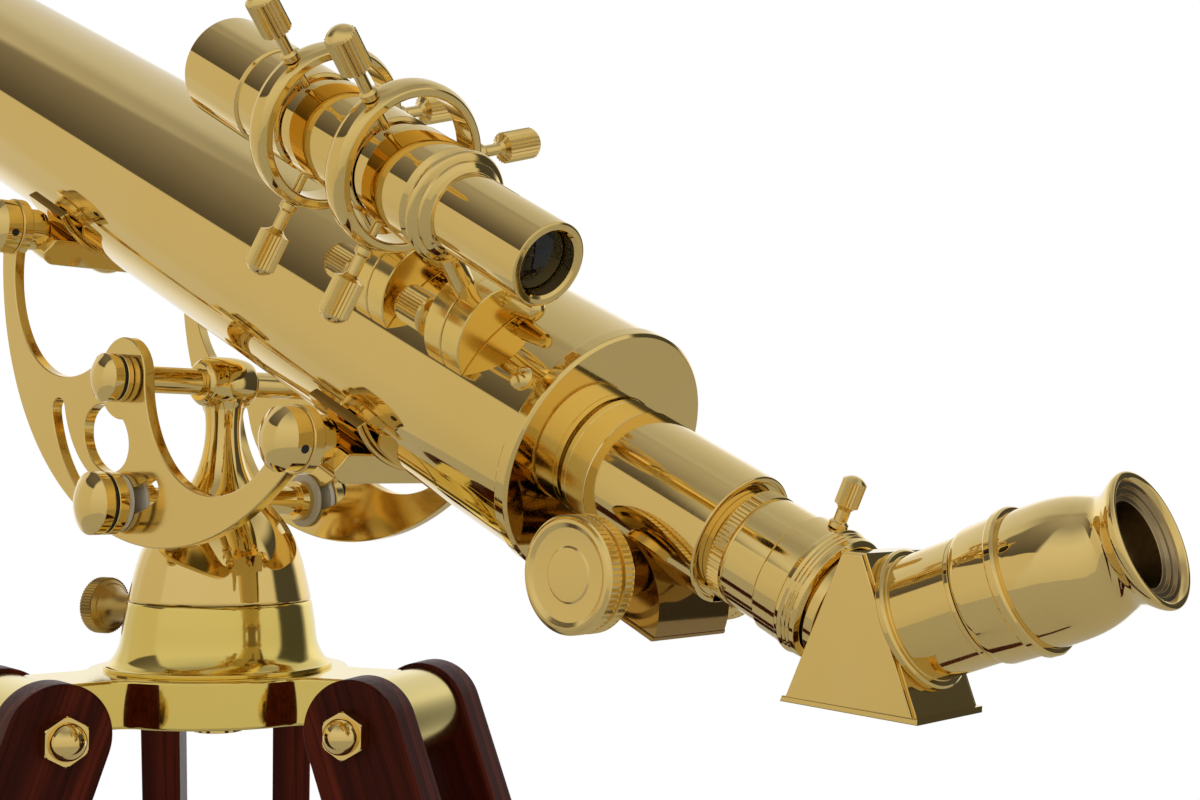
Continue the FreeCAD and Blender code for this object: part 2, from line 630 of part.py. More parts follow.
def finder_foot_pins():
    """Tapered knurled pins in the rear faces of the feet."""
    pieces = []
    for s in RING_S:
        centre = foot_offset(-12.0, 52.0) + Vector(s, 0, 0)
        start = FOOT_BLOCK_HALF
        pin = turned([(5.2, 0), (5.2, 2.4), (start + 0.1, 2.4), (start + 0.1, 5.0), (start + 2.0, 5.4),
                      (start + 12.0, 3.4), dome((start + 12.0, 3.4), start + 13.6)])
        pieces.append(in_tube(aim(pin, centre, X)))
    return group(pieces)


# ---- focuser ------------------------------------------------------------------------------------
def focuser_collar():
    solid = turned([(-4, DRAW_R + FIT), (-4, 20.2), (0, 20.2), (0, 21.4), (0.9, 21.4), (0.9, 22.2),
                    (13.0, 22.2), (13.0, DRAW_R + FIT)], ORIGIN, X)
    return in_tube(solid.cut(rack_channel(-10, 20)))


def focuser_sleeve():
    end = SLEEVE_END
    solid = turned([(13.0, DRAW_R + FIT), (13.0, SLEEVE_R - 0.4), (13.4, SLEEVE_R), (end - 1.0, SLEEVE_R),
                    (end, SLEEVE_R - 0.8), (end, 21.4), (end - 1.0, 21.2), (end - 1.0, 20.6),
                    (end - 0.4, 20.4), (end - 0.4, DRAW_R + FIT)], ORIGIN, X)
    solid = solid.cut(rack_channel(0, 80))
    cavity = rod(PINION_PITCH_R + 1.6, -8, 8, Vector(PINION_S, 0, -PINION_H), Y)
    return in_tube(solid.cut(cavity))


def pinion_housing():
    """Half-round block under the sleeve with the pinion's cavity, two bearing bosses and a flat cover."""
    half = HOUSING_HALF
    drum = rod(HOUSING_R, -half, half, Vector(PINION_S, 0, HOUSING_BASE - 0.7), Y)
    body = drum.common(box(0, 80, -half, half, HOUSING_BASE, 0))
    cover = box(PINION_S - HOUSING_R, PINION_S + HOUSING_R, -half - 0.6, half + 0.6,
                HOUSING_BASE - 1.7, HOUSING_BASE)
    boss = rod(8.0, -27.5, 27.5, Vector(PINION_S, 0, -PINION_H), Y)
    solid = fuse(body, cover, boss)
    solid = solid.cut(rod(SLEEVE_R, 0, 80, ORIGIN, X)).cut(rack_channel(0, 80))
    solid = solid.cut(rod(PINION_PITCH_R + 1.6, -8, 8, Vector(PINION_S, 0, -PINION_H), Y))
    return in_tube(solid.cut(rod(3.0 + FIT, -40, 40, Vector(PINION_S, 0, -PINION_H), Y)))


def pinion():
    """Focus shaft with the pinion cut on its middle."""
    here = Vector(PINION_S, 0, -PINION_H)
    shaft = rod(3.0, -KNOB_OUT + 2, KNOB_OUT - 2, here, Y)
    points = []
    for i in range(PINION_TEETH):
        for part, r in ((0.14, -0.75), (0.54, -0.75), (0.68, 0.45), (1.0, 0.45)):
            angle = 2 * math.pi * (i + part) / PINION_TEETH
            radius = PINION_PITCH_R + r * TOOTH_H - 0.12
            points.append(Vector(radius * math.cos(angle), radius * math.sin(angle), -6.0))
    gear = Part.Face(Part.makePolygon(points + [points[0]])).extrude(Vector(0, 0, 12.0))
    gear = aim(gear, here, Y)
    return in_tube(fuse(shaft, gear))


def focus_knobs():
    pieces = []
    a, b = KNOB_IN, KNOB_OUT
    for side in (-1, 1):
        knob = turned([(a, 0), (a, 15.0), (a + 0.8, KNOB_R), (a + 5.6, KNOB_R), (a + 5.8, KNOB_R - 1.6),
                       (a + 6.8, KNOB_R - 1.6), (a + 7.0, KNOB_R), (b - 1.0, KNOB_R), (b, KNOB_R - 2.6),
                       (b - 0.6, KNOB_R - 4.0), (b - 0.8, 0)])
        knob = knob.cut(rod(3.0, a - 1, b - 2))
        pieces.append(in_tube(aim(knob, Vector(PINION_S, 0, -PINION_H), Y * side)))
    return group(pieces)


def drawtube():
    """Sliding tube with its rack along the bottom."""
    body = tube(DRAW_R, DRAW_BORE, -62, 69, ORIGIN, X)
    pitch = 2 * math.pi * PINION_PITCH_R / PINION_TEETH
    start, end = -34.0, 43.0
    pitch_z = -PINION_H + PINION_PITCH_R
    points = [(start, -DRAW_R + 1.0), (start, pitch_z + TOOTH_H)]
    phase = PINION_S - pitch * math.floor((PINION_S - start - 1.5) / pitch)
    x = phase
    while x + pitch < end:
        points += [(x, pitch_z + TOOTH_H * 0.85), (x + 0.16 * pitch, pitch_z - TOOTH_H * 0.5),
                   (x + 0.52 * pitch, pitch_z - TOOTH_H * 0.5), (x + 0.7 * pitch, pitch_z + TOOTH_H * 0.85)]
        x += pitch
    points += [(end, pitch_z + TOOTH_H), (end, -DRAW_R + 1.0)]
    rack = prism_xz(points, -RACK_HALF_W, RACK_HALF_W)
    solid = body.fuse(rack).removeSplitter()
    return in_tube(solid.cut(rod(DRAW_BORE, -70, 80, ORIGIN, X)))


def drawtube_adapter():
    """Reeded band, barrel, clamping end and bore for the diagonal's nose."""
    solid = turned([(67.2, DRAW_R), (67.2, 18.6), (68.0, 19.4), (73.4, 19.4), (73.6, 18.5), (74.2, 18.5),
                   (74.6, 19.3), (88.0, 19.3), (88.2, 18.9), (88.7, 18.9), (88.9, 20.4), (98.6, 20.5),
                   (99.0, 21.3), (100.4, 21.5), (101.4, 20.9), (106.4, 20.7), (107.2, 18.8),
                   (107.2, SOCKET_R), (69.0, SOCKET_R), (69.0, DRAW_R)], ORIGIN, X)
    return in_tube(solid.cut(rod(1.7 + FIT, 10, 40, Vector(96.5, 0, 0), Z)))


def adapter_screw():
    screw = turned([(16.2, 0), (16.2, 1.7), (26.0, 1.7), (27.6, 2.6), (28.2, 3.8), (36.4, 3.8),
                    dome((36.4, 3.8), 37.8)])
    return in_tube(aim(screw, Vector(96.5, 0, 0), Z))


# ---- diagonal and eyepiece ----------------------------------------------------------------------
DIAG_SECTION = [(DIAG_FRONT, 20.6), (118.6, 23.5), (154.0, -11.9), (DIAG_FRONT, -29.5)]
EYE_DIRECTION = Vector(1, 0, 1).normalize()
EYE_ORIGIN = Vector(EYE_S, 0, EYE_H)


def shrunk(points, inset):
    """Corners of a convex polygon moved inwards by the same distance from every side."""
    count = len(points)
    centre = Vector(sum(p[0] for p in points) / count, 0, sum(p[1] for p in points) / count)
    lines = []
    for i in range(count):
        p = Vector(points[i][0], 0, points[i][1])
        q = Vector(points[(i + 1) % count][0], 0, points[(i + 1) % count][1])
        along = (q - p).normalize()
        inward = Vector(-along.z, 0, along.x)
        if inward.dot(centre - p) < 0:
            inward = inward * -1
        lines.append((p + inward * inset, along))
    corners = []
    for i in range(count):
        (p, d), (q, e) = lines[i - 1], lines[i]
        cross = d.x * e.z - d.z * e.x
        step = ((q.x - p.x) * e.z - (q.z - p.z) * e.x) / cross
        corners.append((p.x + d.x * step, p.z + d.z * step))
    return corners


def diagonal_box():
    """Prism housing: a shell between two side plates, with the nose that fits the adapter."""
    body = prism_xz(DIAG_SECTION, -DIAG_HALF + 1.8, DIAG_HALF - 1.8)
    plates = [prism_xz(shrunk(DIAG_SECTION, 0.5), y, y + 1.8) for y in (-DIAG_HALF, DIAG_HALF - 1.8)]
    base = prism_xz([(DIAG_FRONT - 0.6, -28.6), (154.6, -10.8), (155.3, -12.6), (DIAG_FRONT - 0.6, -30.6)],
                    -DIAG_HALF - 0.15, DIAG_HALF + 0.15)
    nose = rod(NOSE_R, 84.0, DIAG_FRONT + 3, ORIGIN, X)
    collar = rod(18.6, 108.0, DIAG_FRONT + 1, ORIGIN, X)
    solid = fuse(body, base, nose, collar, *plates)
    solid = solid.cut(prism_xz(shrunk(DIAG_SECTION, 2.4), -DIAG_HALF + 2.4, DIAG_HALF - 2.4))
    solid = solid.cut(rod(13.4, 80, DIAG_FRONT + 8, ORIGIN, X))
    return in_tube(solid.cut(rod(13.4, -8, 6, EYE_ORIGIN, EYE_DIRECTION)))


def diagonal_prism():
    return in_tube(prism_xz(shrunk(DIAG_SECTION, 2.4), -DIAG_HALF + 2.5, DIAG_HALF - 2.5))


def eyepiece_holder():
    return in_tube(turned([(0, SOCKET_R), (0, 21.0), (0.6, 21.4), (2.2, 21.4), (2.8, 20.6), (2.8, 19.1),
                           (23.6, 19.1), (24.0, 18.8), (24.0, SOCKET_R)], EYE_ORIGIN, EYE_DIRECTION))


def eyepiece_body():
    """Barrel in the holder, wide ring, sharp collar, swelling body, neck and flared eyecup."""
    return in_tube(turned([(2.6, 14.6), (2.6, NOSE_R), (24.3, NOSE_R), (24.3, 19.0),
                           ((25.2, 20.0), (27.0, 20.6)),
                           (37.6, 20.8), (37.8, 21.7), (38.2, 22.0), (40.2, 22.0), (40.8, 21.6), (41.0, 20.2),
                           [(46.0, 20.3), (52.0, 20.0), (57.0, 19.2), (61.0, 18.0), (64.5, 16.6),
                            (67.0, 15.8)],
                           [(69.0, 16.0), (71.5, 17.2), (74.0, 18.9), (75.6, 19.6)],
                           ((76.9, 19.5), (77.2, 18.4)), (76.6, 17.4), (75.4, 17.0), (75.2, 15.8),
                           (74.2, 15.4), (74.0, 14.2), (73.0, 13.8), (72.6, 12.4), (62.0, 11.4),
                           (62.0, 12.6), (54.0, 12.6), (54.0, 10.4), (22.0, 10.4), (18.0, 14.6)],
                          EYE_ORIGIN, EYE_DIRECTION))


def eyepiece_lenses():
    eye = turned([(56.4, 0), (56.4, 12.6), (58.6, 12.6), dome((58.6, 12.6), 61.6)], EYE_ORIGIN, EYE_DIRECTION)
    field = turned([(6.0, 0), (6.0, 14.6), (8.0, 14.6), dome((8.0, 14.6), 11.2)], EYE_ORIGIN, EYE_DIRECTION)
    return group([in_tube(eye), in_tube(field)])


# ---- write every piece --------------------------------------------------------------------------
save("tripod_hub", tripod_hub())
save("azimuth_base", azimuth_base().cut(lock_hole()))
save("leg_bolts", leg_bolts())
save("azimuth_lock_screw", azimuth_lock_screw())
for leg, leg_azimuth in LEG_AZIMUTHS.items():
    leg_place = leg_frame(leg_azimuth)
    save("leg_" + leg + "_slats", leg_slats(leg_place))
    save("leg_" + leg + "_slider", leg_slider(leg_place))
    save("leg_" + leg + "_foot", leg_foot(leg_place))
    save("leg_" + leg + "_knob", leg_knob(leg_place))
save("column", column())
save("altitude_shaft", altitude_shaft())
save("pivot_caps", pivot_caps())
save("clamp_rod", clamp_rod())
save("clamp_washers", clamp_washers())
save("clamp_knob_near", clamp_knob(-1))
save("clamp_knob_far", clamp_knob(1))
save("crescent_near", crescent(-1))
save("crescent_far", crescent(1))
save("saddle_front", saddle(-HORN_X))
save("saddle_rear", saddle(HORN_X))
save("horn_caps", horn_caps())
save("main_tube", main_tube())
save("rear_ring", rear_ring())
save("rear_screws", rear_screws())
save("objective_cell", objective_cell())
save("objective_doublet", objective_doublet())
save("dew_shield", dew_shield())
save("finder_feet", finder_feet())
save("finder_rings", finder_rings())
save("finder_tube", finder_tube())
save("finder_lenses", finder_lenses())
save("finder_foot_pins", finder_foot_pins())
for ring_name, ring_s in zip(("front", "rear"), RING_S):
    for number, screw_direction in enumerate(screw_directions(), 1):
        save("finder_screw_%s_%d" % (ring_name, number), finder_screw(ring_s, screw_direction))
    save("finder_clamp_" + ring_name, finder_clamp(ring_s))
save("focuser_collar", focuser_collar())
save("focuser_sleeve", focuser_sleeve())
save("pinion_housing", pinion_housing())
save("pinion", pinion())
save("focus_knobs", focus_knobs())
save("drawtube", drawtube())
save("drawtube_adapter", drawtube_adapter())
save("adapter_screw", adapter_screw())
save("diagonal_box", diagonal_box())
save("diagonal_prism", diagonal_prism())
save("eyepiece_holder", eyepiece_holder())
save("eyepiece_body", eyepiece_body())
save("eyepiece_lenses", eyepiece_lenses())
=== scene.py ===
"""Looks for the brass telescope on its wooden tripod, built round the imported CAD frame.

The frame is in metres, +Z up, with the floor at z = 0 under the azimuth axis. Profiles and outlines are
written in millimetres, as (distance along the axis, radius), and scaled by MM when a mesh is made.
"""
import math

import bpy
import numpy as np
from mathutils import Matrix, Vector


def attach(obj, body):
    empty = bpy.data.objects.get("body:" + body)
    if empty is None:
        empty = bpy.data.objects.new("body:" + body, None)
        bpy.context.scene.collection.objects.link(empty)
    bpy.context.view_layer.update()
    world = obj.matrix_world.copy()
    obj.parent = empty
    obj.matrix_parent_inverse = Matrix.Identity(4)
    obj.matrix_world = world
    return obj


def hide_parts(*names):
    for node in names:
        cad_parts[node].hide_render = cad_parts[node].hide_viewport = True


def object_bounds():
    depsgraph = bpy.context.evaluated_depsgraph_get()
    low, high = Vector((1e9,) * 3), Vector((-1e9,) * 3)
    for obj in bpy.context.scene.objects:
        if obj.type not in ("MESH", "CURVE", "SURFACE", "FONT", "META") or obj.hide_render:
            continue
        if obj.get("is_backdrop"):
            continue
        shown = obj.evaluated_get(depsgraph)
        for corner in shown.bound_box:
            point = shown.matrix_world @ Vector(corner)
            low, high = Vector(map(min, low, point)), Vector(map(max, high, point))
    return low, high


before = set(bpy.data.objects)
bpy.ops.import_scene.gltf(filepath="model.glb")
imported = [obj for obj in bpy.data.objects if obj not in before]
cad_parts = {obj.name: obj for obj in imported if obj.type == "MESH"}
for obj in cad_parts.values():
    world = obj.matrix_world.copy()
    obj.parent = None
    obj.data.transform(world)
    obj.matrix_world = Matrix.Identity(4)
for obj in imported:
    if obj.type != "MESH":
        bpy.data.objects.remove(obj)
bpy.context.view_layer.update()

MM = 0.001

# ---- driving dimensions, mm and degrees ----------------------------------------------------------
TILT = 24.8
Z_LEG = 1000.0
Z_ALT = Z_LEG + 143.0
Z_HUB_TOP = Z_ALT - 124.5
Z_SEAM = Z_ALT - 95.6
GAP = 0.3

LEG_AZIMUTHS = {"a": 22.0, "b": 142.0, "c": 262.0}
LEG_PIVOT_R = 87.0
LEG_SPREAD = 20.0
BOSS_R = 19.5
BOSS_HALF = 21.7
SLAT_INNER = 22.0
SLAT_T = 18.0
SLAT_W = 43.0
SLAT_END = 600.0
SLIDER_TOP = 330.0
SLIDER_W = 34.0
KNOB_AT = 572.0
FOOT_R = 15.0
FOOT_PAD_R = 7.0
HUB_R = 56.0
HUB_T = 20.0
SPINDLE_R = 11.0
AZ_LOCK_ANGLE = 194.0
AZ_LOCK_Z = Z_SEAM - 5.4
AZ_LOCK_FACE = 73.0

AXIS_H = 66.7
PLATE_IN = 46.0
PLATE_OUT = 51.0
CRESCENT_R = 131.0
HORN_X = 118.0
HORN_Z = 25.5
U_X, U_Z, U_R = 60.0, 29.0, 49.5
LUG_R = 17.3
HORN_R = 13.2
SLOT_R = 52.3
SLOT_HALF_W = 5.2
SLOT_HALF_ANGLE = 51.5

X_RIM = 220.9
TUBE_R = 45.0
TUBE_FRONT = -606.0
LENS_R = 41.0

FINDER_ANGLE = math.radians(47.7)
FINDER_D = 116.7
RING_S = {"front": -89.7, "rear": -46.3}
RING_R = 28.4
RING_BORE = 24.0
FOOT_BLOCK_R = 19.7
FOOT_BLOCK_D = 40.5
FINDER_TILT = (-0.022, 0.041)
FINDER_SHIFT = (-0.2, 1.4)
FINDER_BODY_R = 17.4

DRAW_R = 17.5
SLEEVE_R = 22.8
SLEEVE_END = 65.0
PINION_S = 34.3
PINION_H = 26.6
KNOB_R = 19.5
KNOB_IN = 29.0
KNOB_OUT = 42.0
NOSE_R = 15.88
SOCKET_R = NOSE_R + 0.05
EYE_S, EYE_H = 133.8, 8.3
DIAG_FRONT = 111.5
DIAG_HALF = 18.6
DIAG_SECTION = [(DIAG_FRONT, 20.6), (118.6, 23.5), (154.0, -11.9), (DIAG_FRONT, -29.5)]

X, Y, Z = Vector((1, 0, 0)), Vector((0, 1, 0)), Vector((0, 0, 1))


# ---- placements ----------------------------------------------------------------------------------
def shift(x, y, z):
    return Matrix.Translation(Vector((x, y, z)) * MM)


def spin(degrees, axis):
    return Matrix.Rotation(math.radians(degrees), 4, axis)


WORLD = Matrix.Identity(4)
CRADLE = shift(0, 0, Z_ALT) @ spin(TILT, "Y")
TUBE = CRADLE @ shift(X_RIM, 0, AXIS_H)


def leg_frame(azimuth):
    """Leg pivot: local x outwards, local y along the pivot, local z down along the leg."""
    return spin(azimuth, "Z") @ shift(LEG_PIVOT_R, 0, Z_LEG) @ spin(-LEG_SPREAD, "Y") @ spin(180, "X")


def aimed(base, origin, direction):
    """Frame whose local z runs along direction from origin, both given in the base frame."""
    if direction.dot(Z) > -0.99999:
        turn = Z.rotation_difference(direction)
    else:
        turn = Matrix.Rotation(math.pi, 3, "X").to_quaternion()
    return base @ shift(*origin) @ turn.to_matrix().to_4x4()


# ---- materials -----------------------------------------------------------------------------------
class Nodes:
    """Small wrapper that adds and links shader nodes."""

    def __init__(self, tree):
        self.tree = tree

    def give(self, socket, value):
        """Links a node's output to the socket, or sets a plain value on it."""
        if isinstance(value, bpy.types.NodeSocket):
            self.tree.links.new(value, socket)
        else:
            socket.default_value = value

    def add(self, kind, **inputs):
        node = self.tree.nodes.new(kind)
        for key, value in inputs.items():
            self.give(node.inputs[key.replace("_", " ")], value)
        return node

    def math(self, operation, a, b=0.0):
        node = self.tree.nodes.new("ShaderNodeMath")
        node.operation = operation
        for socket, value in zip(node.inputs, (a, b)):
            self.give(socket, value)
        return node.outputs[0]

    def ramp(self, value, stops, ease="LINEAR"):
        """Colour ramp; a stop is (position, grey) or (position, (r, g, b))."""
        node = self.tree.nodes.new("ShaderNodeValToRGB")
        self.tree.links.new(value, node.inputs[0])
        node.color_ramp.interpolation = ease
        elements = node.color_ramp.elements
        while len(elements) < len(stops):
            elements.new(0.5)
        for element, (position, colour) in zip(elements, stops):
            element.position = position
            if not isinstance(colour, tuple):
                colour = (colour,) * 3
            element.color = (*colour, 1.0)
        return node.outputs[0]

    def mix(self, factor, a, b):
        node = self.tree.nodes.new("ShaderNodeMix")
        node.data_type = "RGBA"
        self.give(node.inputs[0], factor)
        for socket, value in ((node.inputs[6], a), (node.inputs[7], b)):
            self.give(socket, (*value, 1.0) if isinstance(value, tuple) else value)
        return node.outputs[2]


def material(name):
    made = bpy.data.materials.new(name)
    made.use_nodes = True
    made.node_tree.nodes.clear()
    nodes = Nodes(made.node_tree)
    shader = nodes.add("ShaderNodeBsdfPrincipled")
    output = nodes.add("ShaderNodeOutputMaterial")
    made.node_tree.links.new(shader.outputs[0], output.inputs["Surface"])
    return made, nodes, shader


def link(nodes, source, shader, socket):
    nodes.tree.links.new(source, shader.inputs[socket])


def coordinates(nodes, scale=(1.0, 1.0, 1.0)):
    place = nodes.add("ShaderNodeTexCoord").outputs["Object"]
    mapping = nodes.add("ShaderNodeMapping", Vector=place)
    mapping.inputs["Scale"].default_value = scale
    return mapping.outputs[0]


def noise(nodes, vector, scale, detail, rough):
    made = nodes.add("ShaderNodeTexNoise", Vector=vector, Scale=scale, Detail=detail, Roughness=rough)
    return made.outputs["Fac"]


def around_axis(nodes):
    """Coordinates (radius, 0, distance along the axis): a texture then runs in rings round local z."""
    place = nodes.add("ShaderNodeTexCoord").outputs["Object"]
    split = nodes.add("ShaderNodeSeparateXYZ", Vector=place).outputs
    squares = [nodes.math("MULTIPLY", split[k], split[k]) for k in (0, 1)]
    across = nodes.math("SQRT", nodes.math("ADD", *squares))
    return nodes.add("ShaderNodeCombineXYZ", X=across, Z=split[2]).outputs[0]


BRASS = (0.86, 0.655, 0.27)


def brass(name, colour=BRASS, rough=(0.045, 0.09), rings=0.0, ring_scale=2600.0):
    """Polished brass; rings is the depth in metres of the turning marks round local z."""
    made, nodes, shader = material(name)
    place = coordinates(nodes)
    cloud = noise(nodes, place, 9.0, 4.0, 0.6)
    deep = tuple(c * f for c, f in zip(colour, (0.97, 0.95, 0.84)))
    link(nodes, nodes.mix(nodes.ramp(cloud, [(0.35, 0.0), (0.7, 1.0)]), colour, deep), shader,
        "Base Color")
    wear = noise(nodes, place, 420.0, 3.0, 0.65)
    low, high = rough
    link(nodes, nodes.ramp(wear, [(0.3, low), (0.75, high)]), shader, "Roughness")
    shader.inputs["Metallic"].default_value = 1.0
    if rings:
        marks = noise(nodes, around_axis(nodes), ring_scale, 2.0, 0.7)
        bump = nodes.add("ShaderNodeBump", Height=marks, Distance=rings)
    else:
        ripple = noise(nodes, place, 24.0, 1.0, 0.4)
        bump = nodes.add("ShaderNodeBump", Height=ripple, Distance=0.00006)
    bump.inputs["Strength"].default_value = 1.0
    link(nodes, bump.outputs[0], shader, "Normal")
    return made


def wood(name, dark, light, figure):
    """Lacquered wood with its grain along local z."""
    made, nodes, shader = material(name)
    long = coordinates(nodes, (1.0, 1.0, 0.05))
    bend = noise(nodes, long, 16.0, 3.0, 0.6)
    pores = noise(nodes, coordinates(nodes, (1.0, 1.0, 0.018)), 620.0, 4.0, 0.65)
    bands = nodes.math("FRACT", nodes.math("MULTIPLY", bend, 7.0))
    bands = nodes.ramp(bands, [(0.0, 0.0), (0.55, 1.0), (1.0, 0.0)], "EASE")
    base = nodes.mix(nodes.math("MULTIPLY", bands, figure), dark, light)
    streak = nodes.ramp(pores, [(0.38, 1.0), (0.56, 0.0)])
    base = nodes.mix(nodes.math("MULTIPLY", streak, 0.6), base, tuple(c * 0.35 for c in dark))
    link(nodes, base, shader, "Base Color")
    link(nodes, nodes.ramp(pores, [(0.3, 0.5), (0.7, 0.36)]), shader, "Roughness")
    bump = nodes.add("ShaderNodeBump", Height=pores, Distance=0.00012, Strength=0.35)
    link(nodes, bump.outputs[0], shader, "Normal")
    shader.inputs["Specular IOR Level"].default_value = 0.07
    shader.inputs["Coat Weight"].default_value = 0.05
    shader.inputs["Coat Roughness"].default_value = 0.08
    return made


def plain(name, colour, rough, grain=900.0, depth=0.00004):
    """Matt moulded or painted surface with a fine grain."""
    made, nodes, shader = material(name)
    place = coordinates(nodes)
    cloud = noise(nodes, place, 30.0, 3.0, 0.6)
    link(nodes, nodes.mix(cloud, colour, tuple(c * 0.8 for c in colour)), shader, "Base Color")
    fine = noise(nodes, place, grain, 2.0, 0.6)
    link(nodes, nodes.ramp(fine, [(0.2, rough * 0.85), (0.8, min(1.0, rough * 1.15))]), shader,
        "Roughness")
    bump = nodes.add("ShaderNodeBump", Height=fine, Distance=depth)
    link(nodes, bump.outputs[0], shader, "Normal")
    return made


def glass(name, tint):
    made, nodes, shader = material(name)
    dust = noise(nodes, coordinates(nodes), 160.0, 3.0, 0.6)
    link(nodes, nodes.mix(dust, tint, tuple(c * 0.96 for c in tint)), shader, "Base Color")
    shader.inputs["Roughness"].default_value = 0.02
    shader.inputs["Transmission Weight"].default_value = 1.0
    shader.inputs["IOR"].default_value = 1.52
    return made


POLISHED = brass("brass_polished")
MIRROR = brass("brass_mirror", rough=(0.03, 0.06))
FLAT = brass("brass_flat", rough=(0.10, 0.17))
FACED = brass("brass_faced", rough=(0.20, 0.24), rings=0.000012, ring_scale=1900.0)
# lighter brass for the focuser collar: its raised base colour is a painted highlight for the collar's
# bright band; the turning marks are real
HIGHLIGHT_COLLAR_BRASS = brass("brass_collar_painted_highlight", colour=(1.0, 0.84, 0.46), rough=(0.15, 0.19), rings=0.00002)
# darker brass for the pinion block and its cover: painted dark reflection of the surroundings below the
# block
DARK_REFLECTION_BRASS = brass("brass_painted_dark_reflection", colour=(0.40, 0.26, 0.10), rough=(0.08, 0.14))
# darkened brass for the inside of the eyepiece: painted shade in the bore; the turning marks are real
BORE = brass("brass_bore_painted_shade", colour=(0.42, 0.33, 0.20), rough=(0.20, 0.28), rings=0.00003)
KNURL = brass("brass_knurled", rough=(0.14, 0.22))
WARM = brass("brass_warm", colour=(0.86, 0.62, 0.22), rough=(0.07, 0.11))
BASE = brass("brass_base", colour=(0.85, 0.68, 0.22), rough=(0.07, 0.12))
MATT = brass("brass_matt", colour=(0.84, 0.69, 0.27), rough=(0.17, 0.19))
# satin brass for the finder feet: the roughness is the real finish, the lighter base colour is a
# painted highlight
FOOT_HIGHLIGHT_BRASS = brass("brass_feet_painted_highlight", colour=(0.92, 0.70, 0.26), rough=(0.13, 0.17))
DULL = brass("brass_dull", colour=(0.50, 0.34, 0.11), rough=(0.30, 0.36))
MAHOGANY = wood("mahogany", (0.050, 0.0052, 0.0020), (0.150, 0.019, 0.0060), 0.8)
NYLON = plain("nylon", (0.80, 0.79, 0.74), 0.42)
RUBBER = plain("rubber", (0.018, 0.018, 0.019), 0.7, 500.0, 0.00015)
# black for the painted insides of the tubes and for the grub screws, and for the rings that are painted
# shade in the cap grooves
BLACK = plain("black_paint_and_groove_shade", (0.012, 0.012, 0.014), 0.55)
LENS = glass("coated_glass", (0.86, 0.93, 0.97))
# dark blue tint on the finder's lenses: painted shade of the dark finder interior seen through them
DARK_FINDER_GLASS = glass("finder_glass_painted_dark", (0.05, 0.06, 0.11))


# ---- mesh making ---------------------------------------------------------------------------------
def curve(points, steps=6):
    """Smooth curve through (a, r) points, as points that are not rounded again."""
    first = [2 * points[0][k] - points[1][k] for k in (0, 1)]
    last = [2 * points[-1][k] - points[-2][k] for k in (0, 1)]
    line = [first, *points, last]
    out = []
    for i in range(1, len(line) - 2):
        p0, p1, p2, p3 = line[i - 1:i + 3]
        for j in range(steps):
            t = j / steps
            out.append(tuple(0.5 * (2 * p1[k] + (p2[k] - p0[k]) * t
                    + (2 * p0[k] - 5 * p1[k] + 4 * p2[k] - p3[k]) * t * t
                    + (3 * p1[k] - p0[k] - 3 * p2[k] + p3[k]) * t ** 3) for k in (0, 1)) + (0.0,))
    return out + [(*points[-1][:2], 0.0)]


def dome(start, tip, steps=10):
    """Spherical end from the point start to the axis at tip."""
    rise = tip - start[0]
    radius = (start[1] ** 2 + rise ** 2) / (2 * rise)
    half = math.asin(min(1.0, start[1] / abs(radius)))
    if abs(rise) > start[1]:
        half = math.pi - half
    angles = [half * (1 - i / steps) for i in range(steps + 1)]
    return [(tip - radius + radius * math.cos(t), abs(radius) * math.sin(t), 0.0) for t in angles]


def rounded(outline, corner):
    """Positions and outward normals of a profile with its corners rounded off."""
    points = [np.array(p[:2], float) for p in outline]
    radii = [p[2] if len(p) > 2 else corner for p in outline]
    count = len(points)
    closed = points[0][1] > 1e-6 or points[-1][1] > 1e-6
    area = sum(points[i - 1][0] * points[i][1] - points[i][0] * points[i - 1][1] for i in range(count))
    side = 1.0 if area < 0 else -1.0

    def out(d):
        return side * np.array([-d[1], d[0]])

    places, normals = [], []
    for i in range(count):
        here, before, after = points[i], points[i - 1], points[(i + 1) % count]
        if not closed and i in (0, count - 1):
            away = here - (after if i == 0 else before)
            near = out(-away if i == 0 else away)
            places.append(here)
            normals.append(np.array([1.0 if near[0] > 0 else -1.0, 0.0]))
            continue
        d1, d2 = here - before, after - here
        l1, l2 = np.linalg.norm(d1), np.linalg.norm(d2)
        d1, d2 = d1 / max(l1, 1e-9), d2 / max(l2, 1e-9)
        turn = math.atan2(d1[0] * d2[1] - d1[1] * d2[0], float(d1 @ d2))
        if radii[i] <= 0 or abs(turn) < 0.12:
            mean = out(d1) + out(d2)
            places.append(here)
            normals.append(mean / max(np.linalg.norm(mean), 1e-9))
            continue
        reach = min(radii[i] * math.tan(abs(turn) / 2), 0.45 * l1, 0.45 * l2)
        steps = max(1, math.ceil(abs(turn) / 0.55))
        radius = reach / math.tan(abs(turn) / 2)
        start = here - d1 * reach
        inward = np.array([-d1[1], d1[0]]) * (1 if turn > 0 else -1)
        centre = start + inward * radius
        for j in range(steps + 1):
            t = turn * j / steps
            c, s = math.cos(t), math.sin(t)
            arm = start - centre
            places.append(centre + np.array([c * arm[0] - s * arm[1], s * arm[0] + c * arm[1]]))
            normals.append(out(np.array([c * d1[0] - s * d1[1], s * d1[0] + c * d1[1]])))
    return np.array(places), np.array(normals), closed


def finish_piece(obj, name, body, paint, nodes):
    """Names and paints a piece, puts it on its body and hides the CAD nodes it stands for."""
    obj.name = name
    for each in paint if isinstance(paint, (list, tuple)) else (paint,):
        obj.data.materials.append(each)
    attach(obj, body)
    if nodes:
        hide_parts(*nodes)
    return obj


def linked(name, mesh, matrix):
    obj = bpy.data.objects.new(name, mesh)
    bpy.context.scene.collection.objects.link(obj)
    obj.matrix_world = matrix
    return obj


TOOTH = (1.0, 0.45, 0.0, 0.45)      # height of one serration, sampled round the axis


